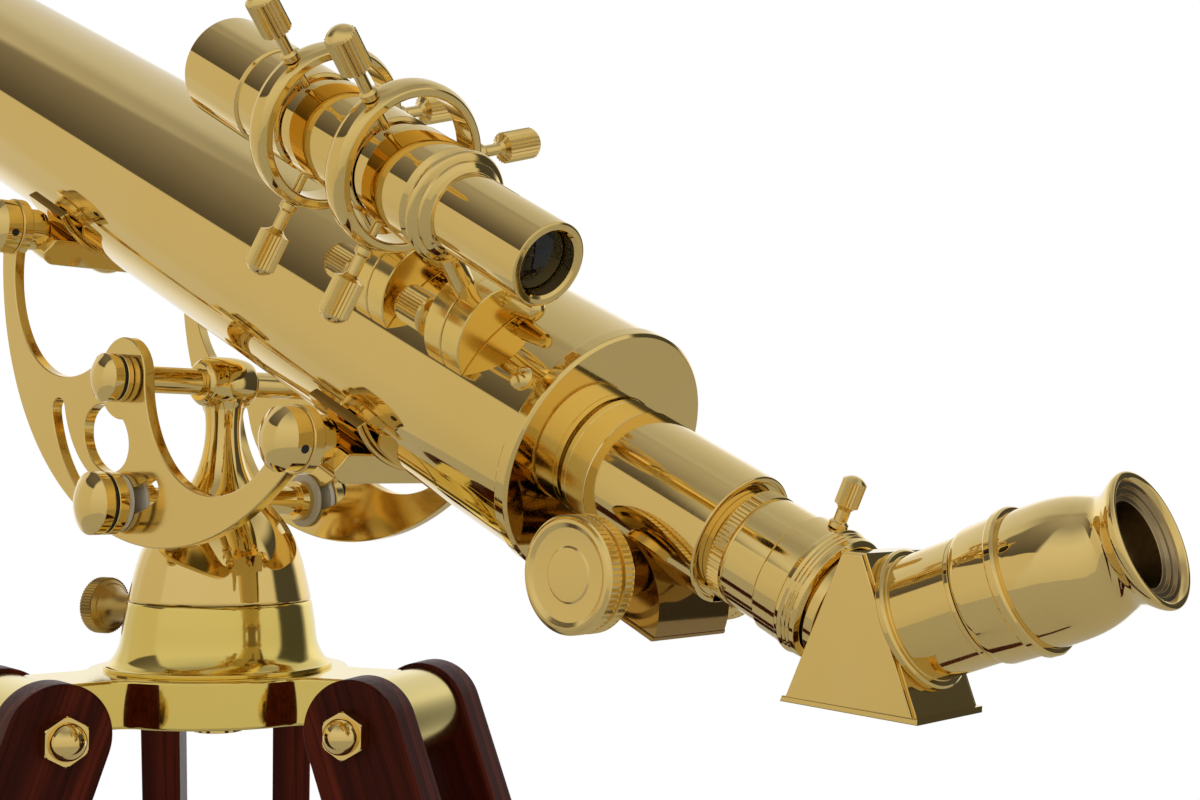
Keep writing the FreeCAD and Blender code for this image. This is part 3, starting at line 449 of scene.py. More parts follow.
def lathe_mesh(name, outline, segments=96, corner=0.25, teeth=0, knurls=(), flats=None, lining=None,
        channel=None):
    """Solid of revolution about local z.

    knurls are (start, end, depth) bands cut into teeth; flats is (start, end, half width) of a hexagon;
    lining is (start, end, radius): inward faces within it take the second one; channel is (half width,
    depth) of a straight slot cut out of the bore on the side of local +x."""
    places, normals, closed = rounded(outline, corner)
    count = len(places)
    if teeth:
        segments = teeth * len(TOOTH)
    angles = 2 * math.pi * np.arange(segments) / segments
    a = np.repeat(places[:, 0:1], segments, 1)
    r = np.repeat(places[:, 1:2], segments, 1)
    worked = np.zeros(count, bool)
    for start, end, depth in knurls:
        band = (places[:, 0] >= start - 1e-6) & (places[:, 0] <= end + 1e-6)
        band &= places[:, 1] > places[band, 1].max() - 2.2 * depth
        heights = np.array([TOOTH[j % len(TOOTH)] for j in range(segments)])
        r[band] = np.minimum(r[band], places[band, 1].max() - depth * (1 - heights)[None, :])
        worked |= band
    if flats:
        start, end, half = flats
        band = (places[:, 0] >= start - 1e-6) & (places[:, 0] <= end + 1e-6)
        wave = half / np.cos((angles + math.pi / 6) % (math.pi / 3) - math.pi / 6)
        r[band] = np.minimum(r[band], wave[None, :])
        worked |= band
    if channel:
        half, depth = channel
        inside = (np.cos(angles) > 0) & (np.abs(depth * np.tan(angles)) < half)
        r[:, inside] = np.maximum(r[:, inside], depth / np.cos(angles[inside]))
    verts = np.stack([r * np.cos(angles), r * np.sin(angles), a], -1).reshape(-1, 3) * MM
    index = np.arange(count * segments).reshape(count, segments)
    rows = [(i, (i + 1) % count) for i in range(count if closed else count - 1)]
    faces, face_row = [], []
    for i, k in rows:
        for j in range(segments):
            m = (j + 1) % segments
            if places[i, 1] < 1e-6:
                faces.append((index[i, 0], index[k, j], index[k, m]))
            elif places[k, 1] < 1e-6:
                faces.append((index[i, j], index[k, 0], index[i, m]))
            else:
                faces.append((index[i, j], index[k, j], index[k, m], index[i, m]))
            face_row.append((i, k))
    sizes = [np.linalg.norm(np.cross(verts[f[1]] - verts[f[0]], verts[f[2]] - verts[f[0]]))
        + np.linalg.norm(np.cross(verts[f[-1]] - verts[f[0]], verts[f[2]] - verts[f[0]]))
        for f in faces]
    kept = [n for n, size in enumerate(sizes) if size > 1e-13]
    faces, face_row = [faces[n] for n in kept], [face_row[n] for n in kept]
    normal3 = np.stack([normals[:, 1:2] * np.cos(angles), normals[:, 1:2] * np.sin(angles),
            np.repeat(normals[:, 0:1], segments, 1)], -1).reshape(-1, 3)
    probe = max(range(len(faces)), key=lambda f: sizes[kept[f]])
    p0, p1, p2 = (verts[v] for v in faces[probe][:3])
    if np.cross(p1 - p0, p2 - p0) @ normal3[faces[probe][:3], :].sum(0) < 0:
        faces = [tuple(reversed(f)) for f in faces]
    used = sorted({v for f in faces for v in f})
    remap = {v: n for n, v in enumerate(used)}
    mesh = bpy.data.meshes.new(name)
    mesh.from_pydata([tuple(verts[v]) for v in used], [], [tuple(remap[v] for v in f) for f in faces])
    mesh.polygons.foreach_set("use_smooth", [True] * len(faces))
    split = []
    for face, (i, k) in zip(faces, face_row):
        slotted = channel and any(verts[v][0] > 0 and abs(verts[v][1]) < channel[0] * 1.2 * MM
            for v in face)
        if worked[i] or worked[k] or slotted:
            e = verts[face[1]] - verts[face[0]]
            g = verts[face[2]] - verts[face[0]]
            flat = np.cross(e, g)
            flat = flat / max(np.linalg.norm(flat), 1e-12)
            split.extend([tuple(flat)] * len(face))
        else:
            split.extend(tuple(normal3[v]) for v in face)
    mesh.normals_split_custom_set(split)
    if lining:
        start, end, radius = lining
        for polygon, (i, k) in zip(mesh.polygons, face_row):
            inside = all(start <= places[q, 0] <= end and places[q, 1] <= radius
                and normals[q, 1] < 0.35 for q in (i, k))
            polygon.material_index = 1 if inside else 0
    return mesh


def lathe(name, outline, matrix, body, paint, nodes=(), slot="brass_polished", **shape):
    obj = linked(name, lathe_mesh(name, outline, **shape), matrix)
    return finish_piece(obj, name, body, paint, nodes)


def arc(cx, cy, radius, start, end, steps):
    """Points on a circle from one angle to another, in degrees."""
    turns = [math.radians(start + (end - start) * i / steps) for i in range(steps + 1)]
    return [(cx + radius * math.cos(t), cy + radius * math.sin(t)) for t in turns]


def plate_mesh(name, loops, thickness, bevel):
    """Flat plate from closed loops in the local xy plane, rounded along its edges, centred on z = 0."""
    shape = bpy.data.curves.new(name, "CURVE")
    shape.dimensions = "2D"
    shape.fill_mode = "BOTH"
    shape.extrude = (thickness / 2 - bevel) * MM
    shape.bevel_depth = bevel * MM
    shape.bevel_resolution = 2
    shape.offset = -bevel * MM
    for loop in loops:
        spline = shape.splines.new("POLY")
        spline.points.add(len(loop) - 1)
        for point, (x, y) in zip(spline.points, loop):
            point.co = (x * MM, y * MM, 0.0, 1.0)
        spline.use_cyclic_u = True
    obj = bpy.data.objects.new(name, shape)
    bpy.context.scene.collection.objects.link(obj)
    mesh = bpy.data.meshes.new_from_object(obj.evaluated_get(bpy.context.evaluated_depsgraph_get()))
    bpy.data.objects.remove(obj)
    bpy.data.curves.remove(shape)
    return mesh


def even_shading(obj):
    """Smooth shading that keeps flats flat and sharp edges sharp."""
    mesh = obj.data
    mesh.polygons.foreach_set("use_smooth", [True] * len(mesh.polygons))
    mesh.set_sharp_from_angle(angle=math.radians(35))
    weighted = obj.modifiers.new("weighted", "WEIGHTED_NORMAL")
    weighted.keep_sharp = True
    weighted.weight = 90


def plate(name, loops, thickness, matrix, body, paint, nodes, bevel):
    obj = linked(name, plate_mesh(name, loops, thickness, bevel), matrix)
    even_shading(obj)
    return finish_piece(obj, name, body, paint, nodes)


# ---- tripod --------------------------------------------------------------------------------------
def hub_outline():
    """Disc with three arms, joined by hollow fillets, seen from above."""
    points = []
    fillet = 12.0
    half = BOSS_HALF - 1.0
    for azimuth in LEG_AZIMUTHS.values():
        side = half + fillet
        reach = math.sqrt((HUB_R + fillet) ** 2 - side ** 2)
        meet = math.degrees(math.atan2(side, reach))
        right = arc(reach, -side, fillet, 180 - meet, 90, 14)
        left = [(x, -y) for x, y in reversed(right)]
        arm = right + [(LEG_PIVOT_R, -half), (LEG_PIVOT_R, half)] + left
        turn = math.radians(azimuth)
        c, s = math.cos(turn), math.sin(turn)
        points += [(x * c - y * s, x * s + y * c) for x, y in arm]
        points += arc(0, 0, HUB_R, azimuth + meet, azimuth + 120 - meet, 24)[1:-1]
    return points


def hexagon_bolt(name, matrix, body, nodes):
    """Hexagon and domed end of an acorn nut, along local z."""
    outline = [(0, 0), (0, 9.9), (5.7, 9.9, 0.0), (6.2, 9.3, 0.0), (6.2, 7.5, 0.0),
        *dome((6.5, 7.5), 13.9)]
    return lathe(name, outline, matrix, body, POLISHED, nodes, flats=(-0.01, 6.21, 8.6), segments=144)


plate("hub_plate", [hub_outline()], HUB_T, shift(0, 0, Z_HUB_TOP - HUB_T / 2), "base", BASE,
    ("tripod_hub",), bevel=1.4)
for leg, azimuth in LEG_AZIMUTHS.items():
    turn = spin(azimuth, "Z")
    lathe("hub_boss_" + leg, [(-BOSS_HALF, 6.1), (-BOSS_HALF, BOSS_R, 1.2), (BOSS_HALF, BOSS_R, 1.2),
            (BOSS_HALF, 6.1)], aimed(turn, (LEG_PIVOT_R, 0, Z_LEG), Y), "base", MATT, ("tripod_hub",),
        "brass_satin", segments=128)
    face = SLAT_INNER + SLAT_T + GAP
    lathe("leg_pivot_bolt_" + leg, [(-face, 0), (-face, 6.0), (face, 6.0), (face, 0)],
        aimed(turn, (LEG_PIVOT_R, 0, Z_LEG), Y), "base", POLISHED, ("leg_bolts",), segments=48)
    for end, side in (("right", -1), ("left", 1)):
        hexagon_bolt("leg_%s_nut_%s" % (leg, end), aimed(turn, (LEG_PIVOT_R, side * face, Z_LEG),
                Y * side), "base", ("leg_bolts",))

lathe("azimuth_bell", [(Z_HUB_TOP - HUB_T - 6, SPINDLE_R + 0.05), (Z_HUB_TOP - HUB_T - 6, 14.0),
        (Z_HUB_TOP - 0.02, 14.0), (Z_HUB_TOP - 0.02, 49.0), (Z_HUB_TOP + 1.6, 49.2, 0.6),
        *curve([(Z_HUB_TOP + 2.2, 47.6), (Z_HUB_TOP + 5, 45.0), (Z_HUB_TOP + 11, 42.4),
        (Z_SEAM - 8, 41.0), (Z_SEAM - 0.6, 39.7)]), (Z_SEAM, 39.2), (Z_SEAM, SPINDLE_R + 0.05)], WORLD,
    "base", BASE, ("azimuth_base",), "brass_satin", segments=192)


def thumb_knob(name, matrix, body, radius, thickness, neck_r, neck_len, shank_r, shank_len, teeth,
        depth, nodes, tip=()):
    """Knurled disc on a conical neck; the axis runs from its face inwards."""
    end = thickness + neck_len
    outline = [(0.5, 0), (0.5, radius * 0.42), (0, radius * 0.5), (0, radius - 2.6),
        (1.5, radius - 0.9), (1.5, radius, 0.1), (thickness - 1.5, radius, 0.1),
        (thickness - 1.5, radius - 0.9), (thickness, radius - 2.6), *curve([(thickness, neck_r * 1.9),
            (thickness + neck_len * 0.35, neck_r * 1.25), (end, neck_r)]), (end, shank_r),
        (end + shank_len, shank_r), *tip]
    if not tip:
        outline.append((end + shank_len, 0))
    return lathe(name, outline, matrix, body, DULL, nodes, teeth=teeth,
        knurls=[(1.5, thickness - 1.5, depth)])


lock_out = Vector((math.cos(math.radians(AZ_LOCK_ANGLE)), math.sin(math.radians(AZ_LOCK_ANGLE)), 0))
thumb_knob("azimuth_lock_knob", aimed(WORLD, lock_out * AZ_LOCK_FACE + Z * AZ_LOCK_Z, -lock_out),
    "azimuth_lock", 12.8, 9.0, 5.2, 14.0, 3.0, 36.0, 56, 0.5, ("azimuth_lock_screw",),
    tip=((59.0, 2.4), (62.7, 2.4), (62.7, 0)))


# outline y becomes local z
UPRIGHT = Matrix(((1, 0, 0, 0), (0, 0, -1, 0), (0, 1, 0, 0), (0, 0, 0, 1)))


def board(name, outline, thick, bevel, matrix, body, nodes):
    """Wooden board with its outline in the local xz plane, so that the grain runs along local z."""
    mesh = plate_mesh(name, [outline], thick, bevel)
    mesh.transform(UPRIGHT)
    obj = linked(name, mesh, matrix)
    even_shading(obj)
    return finish_piece(obj, name, body, MAHOGANY, nodes)


LEG_BALL = (Z_LEG - math.sqrt(FOOT_R ** 2 - FOOT_PAD_R ** 2)) / math.cos(math.radians(LEG_SPREAD))
for leg, azimuth in LEG_AZIMUTHS.items():
    place = leg_frame(azimuth)
    upper, lower = "leg_" + leg, "leg_%s_lower" % leg
    half = SLAT_W / 2
    slat = arc(0, 0, half, 180, 360, 36) + [(half, SLAT_END), (-half, SLAT_END)]
    for end, side in (("left", -1), ("right", 1)):
        board("leg_%s_slat_%s" % (leg, end), slat, SLAT_T, 1.3,
            place @ shift(0, side * (SLAT_INNER + SLAT_T / 2), 0), upper, ("leg_%s_slats" % leg,))
    foot_top = LEG_BALL - 34.0
    half = SLIDER_W / 2
    bar = [(-half, SLIDER_TOP), (half, SLIDER_TOP), (half, foot_top), (-half, foot_top)]
    board("leg_%s_bar" % leg, bar, 2 * (SLAT_INNER - GAP), 1.6, place, lower, ("leg_%s_slider" % leg,))
    foot = [(foot_top, 0), (foot_top, 20.4, 0.8), (foot_top + 4, 21.0, 0.8), (foot_top + 5, 19.4, 0.4),
        (foot_top + 6.2, 19.4, 0.4), (foot_top + 7.2, 20.0, 0.5),
        *curve([(foot_top + 14, 17.4), (foot_top + 21, 13.4), (LEG_BALL - 9.0, 12.0)]),
        *[(LEG_BALL - FOOT_R * math.cos(t), FOOT_R * math.sin(t), 0.0)
            for t in np.linspace(math.radians(54), math.radians(180), 22)]]
    mesh = lathe_mesh("foot", foot, segments=72)
    mesh.transform(place)
    obj = linked("leg_%s_rubber_foot" % leg, mesh, WORLD)
    for vertex in obj.data.vertices:
        vertex.co.z = max(0.0, vertex.co.z)
    obj.data.set_sharp_from_angle(angle=math.radians(50))
    finish_piece(obj, "leg_%s_rubber_foot" % leg, lower, RUBBER, ("leg_%s_foot" % leg,))
    face = SLAT_INNER + SLAT_T + 0.2 + 11.0 + 5.0
    thumb_knob("leg_%s_clamp_knob" % leg, aimed(place, (0, -face, KNOB_AT), Y), "leg_%s_clamp" % leg,
        15.0, 11.0, 7.0, 5.0, 4.0, SLAT_T + 0.2, 44, 0.9, ("leg_%s_knob" % leg,))

# ---- column and altitude axis --------------------------------------------------------------------
waist = [(-88, 37.9), (-78, 35.4), (-69, 32.0), (-61, 27.4), (-54, 21.5), (-47, 15.6), (-39, 11.2),
    (-30, 8.6), (-21, 7.6), (-13, 8.0), (-8, 9.2)]
lower_end = Z_HUB_TOP - HUB_T - 8
lathe("column_body", [(lower_end, 0), (lower_end, SPINDLE_R), (AZ_LOCK_Z - 3.4, SPINDLE_R, 0),
        (AZ_LOCK_Z - 2.8, SPINDLE_R - 1.2), (AZ_LOCK_Z + 2.8, SPINDLE_R - 1.2),
        (AZ_LOCK_Z + 3.4, SPINDLE_R, 0), (Z_SEAM + GAP, SPINDLE_R), (Z_SEAM + GAP, 39.0),
        *curve([(Z_SEAM + 0.9, 39.4)] + [(Z_ALT + a, r) for a, r in waist]), (Z_ALT - 4, 9.0),
        (Z_ALT - 4, 0)], WORLD, "column", MIRROR, ("column",), "brass_satin", segments=160)
lathe("column_head", [(-13, 5.8), (-13, 8.0), *curve([(-12.6, 8.8), (-10.4, 10.4), (-5, 11.4),
        (0, 11.6), (5, 11.4), (10.4, 10.4), (12.6, 8.8)]), (13, 8.0), (13, 5.8)],
    aimed(WORLD, (0, 0, Z_ALT), Y), "column", MIRROR, ("column",), "brass_satin", segments=96)
lathe("altitude_shaft_bar", [(-57, 0), (-57, 5.75), (57, 5.75), (57, 0)],
    aimed(WORLD, (0, 0, Z_ALT), Y), "column", POLISHED, ("altitude_shaft",), "brass_satin", segments=72)


def stacked_cap(radius, start, skirt, groove, rise_from, rise):
    """Two turned discs with a groove between them and a domed end; the groove's painted shade is a
    black ring laid in it separately.
    """
    a, b = start + skirt, start + skirt + groove
    return [(start, 0), (start, radius, 0.5), (a, radius, 0.5), (a, radius - 4.0, 0.1),
        (b, radius - 4.0, 0.1), (b, radius, 0.5), (rise_from, radius, 0.6),
        *dome((rise_from + 0.01, radius - 0.3), rise_from + rise)[1:-1], (rise_from + rise, 0)]


ROD_Z = Z_ALT - SLOT_R
# thickness of the black ring that is the painted shade in each cap's groove
GROOVE_SHADE_T = 1.55
for side, word in ((-1, "near"), (1, "far")):
    caps = (("pivot_groove_shade_", "pivot_cap_", Z_ALT, 10.2, (51.2, 2.6, 1.5, 59.8, 3.6), "column",
            "pivot_caps"), ("knob_groove_shade_", "altitude_knob_", ROD_Z, 13.2, (53.8, 4.8, 1.6, 64.8, 4.4),
            "clamp_" + word, "clamp_knob_" + word))
    for groove_shade_name, name, height, radius, steps, body, node in caps:
        place = aimed(WORLD, (0, 0, height), Y * side)
        start = steps[0] + steps[1]
        # black ring in the groove between the cap's two discs: painted shade of the groove
        lathe(groove_shade_name + word, [(start, radius - 4), (start, radius - 0.8, 0.2),
                (start + GROOVE_SHADE_T, radius - 0.8, 0.2), (start + GROOVE_SHADE_T, radius - 4)], place, body, BLACK,
            segments=72)
        lathe(name + word, stacked_cap(radius, *steps), place, body, POLISHED, (node,), segments=96)
    for start, end in ((44.0, 45.8), (51.2, 53.6)):
        lathe("nylon_washer_%s_%d" % (word, start), [(start, 4.2), (start, 12.2, 0.3), (end, 12.2, 0.3),
                (end, 4.2)], aimed(WORLD, (0, 0, ROD_Z), Y * side), "column", NYLON, ("clamp_washers",),
            "nylon", segments=72)
lathe("clamp_cross_rod", [(-62, 0), (-62, 4.2), (-44, 4.2), (-44, 9.0), (-38, 9.0), (-38, 6.5),
        (38, 6.5), (38, 9.0), (44, 9.0), (44, 4.2), (62, 4.2), (62, 0)], aimed(WORLD, (0, 0, ROD_Z), Y),
    "column", POLISHED, ("clamp_rod",), "brass_satin", segments=72)


# ---- cradle --------------------------------------------------------------------------------------
def meet(c1, r1, c2, r2, lower):
    """Angle, seen from the first circle's centre, of where two circles cross."""
    d = math.dist(c1, c2)
    line = math.degrees(math.atan2(c2[1] - c1[1], c2[0] - c1[0]))
    part = math.degrees(math.acos((r1 * r1 + d * d - r2 * r2) / (2 * r1 * d)))
    return line - part if lower else line + part


def crescent_outline():
    """Right half from the bottom round the horn and the U to the lug, then the same mirrored."""
    big, horn, bay, lug = (0, AXIS_H), (HORN_X, HORN_Z), (U_X, U_Z), (0, 0)
    big_end = meet(big, CRESCENT_R, horn, HORN_R, True)
    horn_start = meet(horn, HORN_R, big, CRESCENT_R, False) - 360
    horn_end = meet(horn, HORN_R, bay, U_R, False)
    while horn_start > horn_end:
        horn_start -= 360
    bay_start = meet(bay, U_R, horn, HORN_R, True)
    bay_end = meet(bay, U_R, lug, LUG_R, False)
    while bay_end > bay_start:
        bay_end -= 360
    lug_start = meet(lug, LUG_R, bay, U_R, True)
    half = (arc(*big, CRESCENT_R, -90, big_end, 40) + arc(*horn, HORN_R, horn_start, horn_end, 30)[1:]
        + arc(*bay, U_R, bay_start, bay_end, 50)[1:] + arc(*lug, LUG_R, lug_start, 90, 14)[1:])
    return half + [(-x, y) for x, y in reversed(half[1:-1])]


def oval_outline():
    """Window below the lug: an ellipse pushed clear of the lug's circle."""
    points = []
    for t in np.linspace(0, 2 * math.pi, 72, endpoint=False):
        x, y = 18.2 * math.cos(t), 13.6 * math.sin(t) - 27.6
        push = max(1.0, (LUG_R + 0.1) / math.hypot(x, y))
        points.append((x * push, y * push))
    return points


def slot_outline():
    """Curved slot for the clamp rod, centred on the altitude axis."""
    start, end = -90 - SLOT_HALF_ANGLE, -90 + SLOT_HALF_ANGLE
    left = (SLOT_R * math.cos(math.radians(start)), SLOT_R * math.sin(math.radians(start)))
    right = (SLOT_R * math.cos(math.radians(end)), SLOT_R * math.sin(math.radians(end)))
    return (arc(0, 0, SLOT_R + SLOT_HALF_W, start, end, 60)
        + arc(*right, SLOT_HALF_W, end, end + 180, 14)[1:-1]
        + arc(0, 0, SLOT_R - SLOT_HALF_W, end, start, 60)
        + arc(*left, SLOT_HALF_W, start + 180, start + 360, 14)[1:-1])


for side, word in ((-1, "near"), (1, "far")):
    middle = (PLATE_IN + PLATE_OUT) / 2 * side
    plate("crescent_plate_" + word, [crescent_outline(), oval_outline(), slot_outline()],
        PLATE_OUT - PLATE_IN, CRADLE @ shift(0, middle, 0) @ UPRIGHT, "telescope", FLAT,
        ("crescent_" + word,), bevel=0.55)

# outline x and y become local y and z
ACROSS = Matrix(((0, 0, 1, 0), (1, 0, 0, 0), (0, 1, 0, 0), (0, 0, 0, 1)))
GRUB_WAY = Vector((1, 0, 0.12)).normalized()
for x, word in ((-HORN_X, "front"), (HORN_X, "rear")):
    node = ("saddle_" + word,)
    seat = TUBE_R + 0.04
    top = HORN_Z + 1.0
    reach = math.degrees(math.asin((AXIS_H - top) / seat))
    low = HORN_Z - 11.5
    place = CRADLE @ shift(x, 0, 0) @ ACROSS
    lip = [(37.5, top - 3), (36.2, top - 0.6), (34.5, top)]
    block = (arc(-34, low + 6, 6, 180, 270, 8) + arc(34, low + 6, 6, 270, 360, 8) + lip
        + arc(0, AXIS_H, seat, -reach, -180 + reach, 40) + [(-x, y) for x, y in reversed(lip)])
    plate("saddle_block_" + word, [block], 30.0, place, "telescope", POLISHED, node, bevel=0.8)
    strap = arc(0, AXIS_H, seat, -142, -38, 60) + arc(0, AXIS_H, TUBE_R + 2.2, -38, -142, 60)
    plate("saddle_strap_" + word, [strap], 33.0, place, "telescope", WARM, node, bevel=0.7)
    for side, end in ((-1, "near"), (1, "far")):
        outwards = aimed(CRADLE, (x, 0, HORN_Z), Y * side)
        lathe("saddle_bar_%s_%s" % (word, end), [(34, 0), (34, 6.0), (36.5, 9.0), (38.5, 9.6),
                (PLATE_IN - 0.02, 9.6, 0.1), (PLATE_IN - 0.02, 4.0), (PLATE_OUT + 5, 4.0),
                (PLATE_OUT + 5, 0)], outwards, "telescope", POLISHED, node, "brass_satin", segments=72)
        lathe("horn_cap_%s_%s" % (word, end), [(51.02, 0), (51.02, 12.3, 0.5), (58.0, 12.3, 0.0),
                *dome((58.0, 12.3), 63.2)], outwards, "telescope", POLISHED, ("horn_caps",),
            segments=96)
        lathe("horn_grub_%s_%s" % (word, end), [(8, 0), (8, 1.7), (12.5, 1.7, 0.1), (12.5, 0)],
            aimed(CRADLE, (x, side * (PLATE_OUT + 3.6), HORN_Z), GRUB_WAY), "telescope", BLACK,
            segments=32)
    lathe("saddle_nut_" + word, [(-0.5, 0), (-0.5, 7.8), (2.6, 7.8, 0.6), *dome((3.0, 7.4), 5.6)],
        aimed(CRADLE, (x, 0, low), -Z), "telescope", POLISHED, node, "brass_satin", segments=64)

# ---- optical tube --------------------------------------------------------------------------------
ALONG = aimed(TUBE, (0, 0, 0), X)
lathe("optical_tube", [(TUBE_FRONT, TUBE_R - 2), (TUBE_FRONT, TUBE_R), (-5.75, TUBE_R, 0.1),
        (-5.75, TUBE_R - 2)], ALONG, "telescope", (MIRROR, BLACK), ("main_tube",), segments=256,
    lining=(-700, 0, TUBE_R - 1.9))
lathe("tube_rear_ring", [(-22, 40.0), (-22, 42.98), (-5.7, 42.98, 0.0), (-5.7, 45.9), (-5.2, 46.15),
        (-1.0, 46.0, 0.7), (0, 44.9, 0.5), (0, 22.7, 0.1), (-0.9, 22.4, 0.1), (-0.9, 20.3, 0.1),
        (-4, 20.25), (-4, 40.0)], ALONG, "telescope", (POLISHED, BLACK), ("rear_ring",), segments=256,
    lining=(-23, -3, 42))
lathe("objective_ring", [(-628, 39.6), (-628, 47.0, 0.8), (-593, 47.0, 0.8), (-593, 45.05),
        (-606, 45.05), (-606, 39.6), (-609, 39.6), (-609, 41.1), (-625, 41.1), (-625, 39.6)], ALONG,
    "telescope", POLISHED, ("objective_cell",), segments=192)
lathe("objective_crown", [*reversed(dome((-620.0, LENS_R), -624.2)), (-617.4, LENS_R),
        *dome((-617.4, LENS_R), -614.2)], ALONG, "telescope", LENS, ("objective_doublet",), "glass",
    segments=128, corner=0.1)
lathe("objective_flint", [*reversed(dome((-617.0, LENS_R), -613.8)), (-609.2, LENS_R),
        *dome((-609.2, LENS_R), -610.0)], ALONG, "telescope", LENS, ("objective_doublet",), "glass",
    segments=128, corner=0.1)
lathe("dew_cap", [(-716, 47.3), (-716, 49.4, 0.5), (-715, 50.4, 0.6), (-709, 50.4, 0.5),
        (-708.4, 49.3, 0.3), (-707.6, 49.2), (-602, 49.2, 0.4), (-601, 48.4), (-601, 47.05),
        (-627, 47.05), (-630, 47.6)], ALONG, "telescope", (MIRROR, BLACK), ("dew_shield",),
    segments=256, lining=(-714, -602, 48.0))

# ---- finder --------------------------------------------------------------------------------------
RADIAL = Vector((0, -math.sin(FINDER_ANGLE), math.cos(FINDER_ANGLE)))
TANGENT = Vector((0, -math.cos(FINDER_ANGLE), -math.sin(FINDER_ANGLE)))
MID = sum(RING_S.values()) / 2
FINDER_CENTRE = X * MID + RADIAL * (FINDER_D + FINDER_SHIFT[0]) + TANGENT * FINDER_SHIFT[1]
FINDER_AXIS = (X + RADIAL * FINDER_TILT[0] + TANGENT * FINDER_TILT[1]).normalized()
FINDER = aimed(TUBE, FINDER_CENTRE, FINDER_AXIS)

b = FINDER_BODY_R
rear, front, bead = 28.6 - MID, -152.0 - MID, -17.0 - MID
outline = [(front, 16.6), (front, 18.3, 0.5), (-118.0 - MID, 18.3, 0.4), (-117.4 - MID, b, 0.2)]
for s in RING_S.values():
    g = s - MID
    outline += [(g - 3.8, b), (g - 3.4, b - 1.4), (g + 3.4, b - 1.4), (g + 3.8, b)]
outline += [(bead - 5, b, 0.4), (bead - 3.4, b - 1.3, 0.4), (bead - 2.2, b - 1.3, 0.2),
    *curve([(bead - 1.9, b - 0.6), (bead - 1.3, b + 0.4), (bead, b + 0.9), (bead + 1.3, b + 0.4),
        (bead + 1.9, b - 0.6)], 4), (bead + 2.2, b - 1.6, 0.2), (bead + 3.2, b - 1.8, 0.3),
    (bead + 4.4, 14.2, 0.5), (bead + 5.0, 13.1, 0.4), (rear - 0.2, 13.1, 0.5), (rear, 12.5, 0.3),
    (rear, 10.8, 0.3), (rear - 0.9, 10.0, 0.3), (rear - 5.8, 10.0), (rear - 5.8, 8.6),
    (rear - 34.0, 8.6), (-20.0 - MID, 11.0), (-24.0 - MID, 15.0), (front + 7.0, 15.0),
    (front + 7.0, 16.6)]
lathe("finder_barrel", outline, FINDER, "telescope", (MIRROR, BLACK), ("finder_tube",), segments=160,
    lining=(front + 1, rear - 5.75, 16.7))
lathe("finder_objective", [*reversed(dome((front + 4.0, 16.5), front + 1.8)), (front + 6.8, 16.5),
        (front + 6.8, 0)], FINDER, "telescope", DARK_FINDER_GLASS, ("finder_lenses",), "glass", segments=96,
    corner=0.1)
lathe("finder_eye_lens", [(rear - 5.75, 0), (rear - 5.75, 9.9), *dome((rear - 5.4, 9.9), rear - 4.6)],
    FINDER, "telescope", DARK_FINDER_GLASS, ("finder_lenses",), "glass", segments=96, corner=0.1)


def foot_point(degrees, radius):
    """Point in a section of the tube, at an angle from the finder's radial line."""
    angle = FINDER_ANGLE + math.radians(degrees)
    return Vector((0, -math.sin(angle), math.cos(angle))) * radius


def foot_outline():
    """Half-round block on the tube, with the radial direction along local y."""
    d, r, t = FOOT_BLOCK_D, FOOT_BLOCK_R, TUBE_R + 0.03
    y = (d * d + t * t - r * r) / (2 * d)
    x = math.sqrt(t * t - y * y)
    start = math.degrees(math.atan2(y - d, x))
    seat = math.degrees(math.atan2(y, x))
    return arc(0, d, r, start, 180 - start, 60) + arc(0, 0, t, 180 - seat, seat, 30)[1:-1]


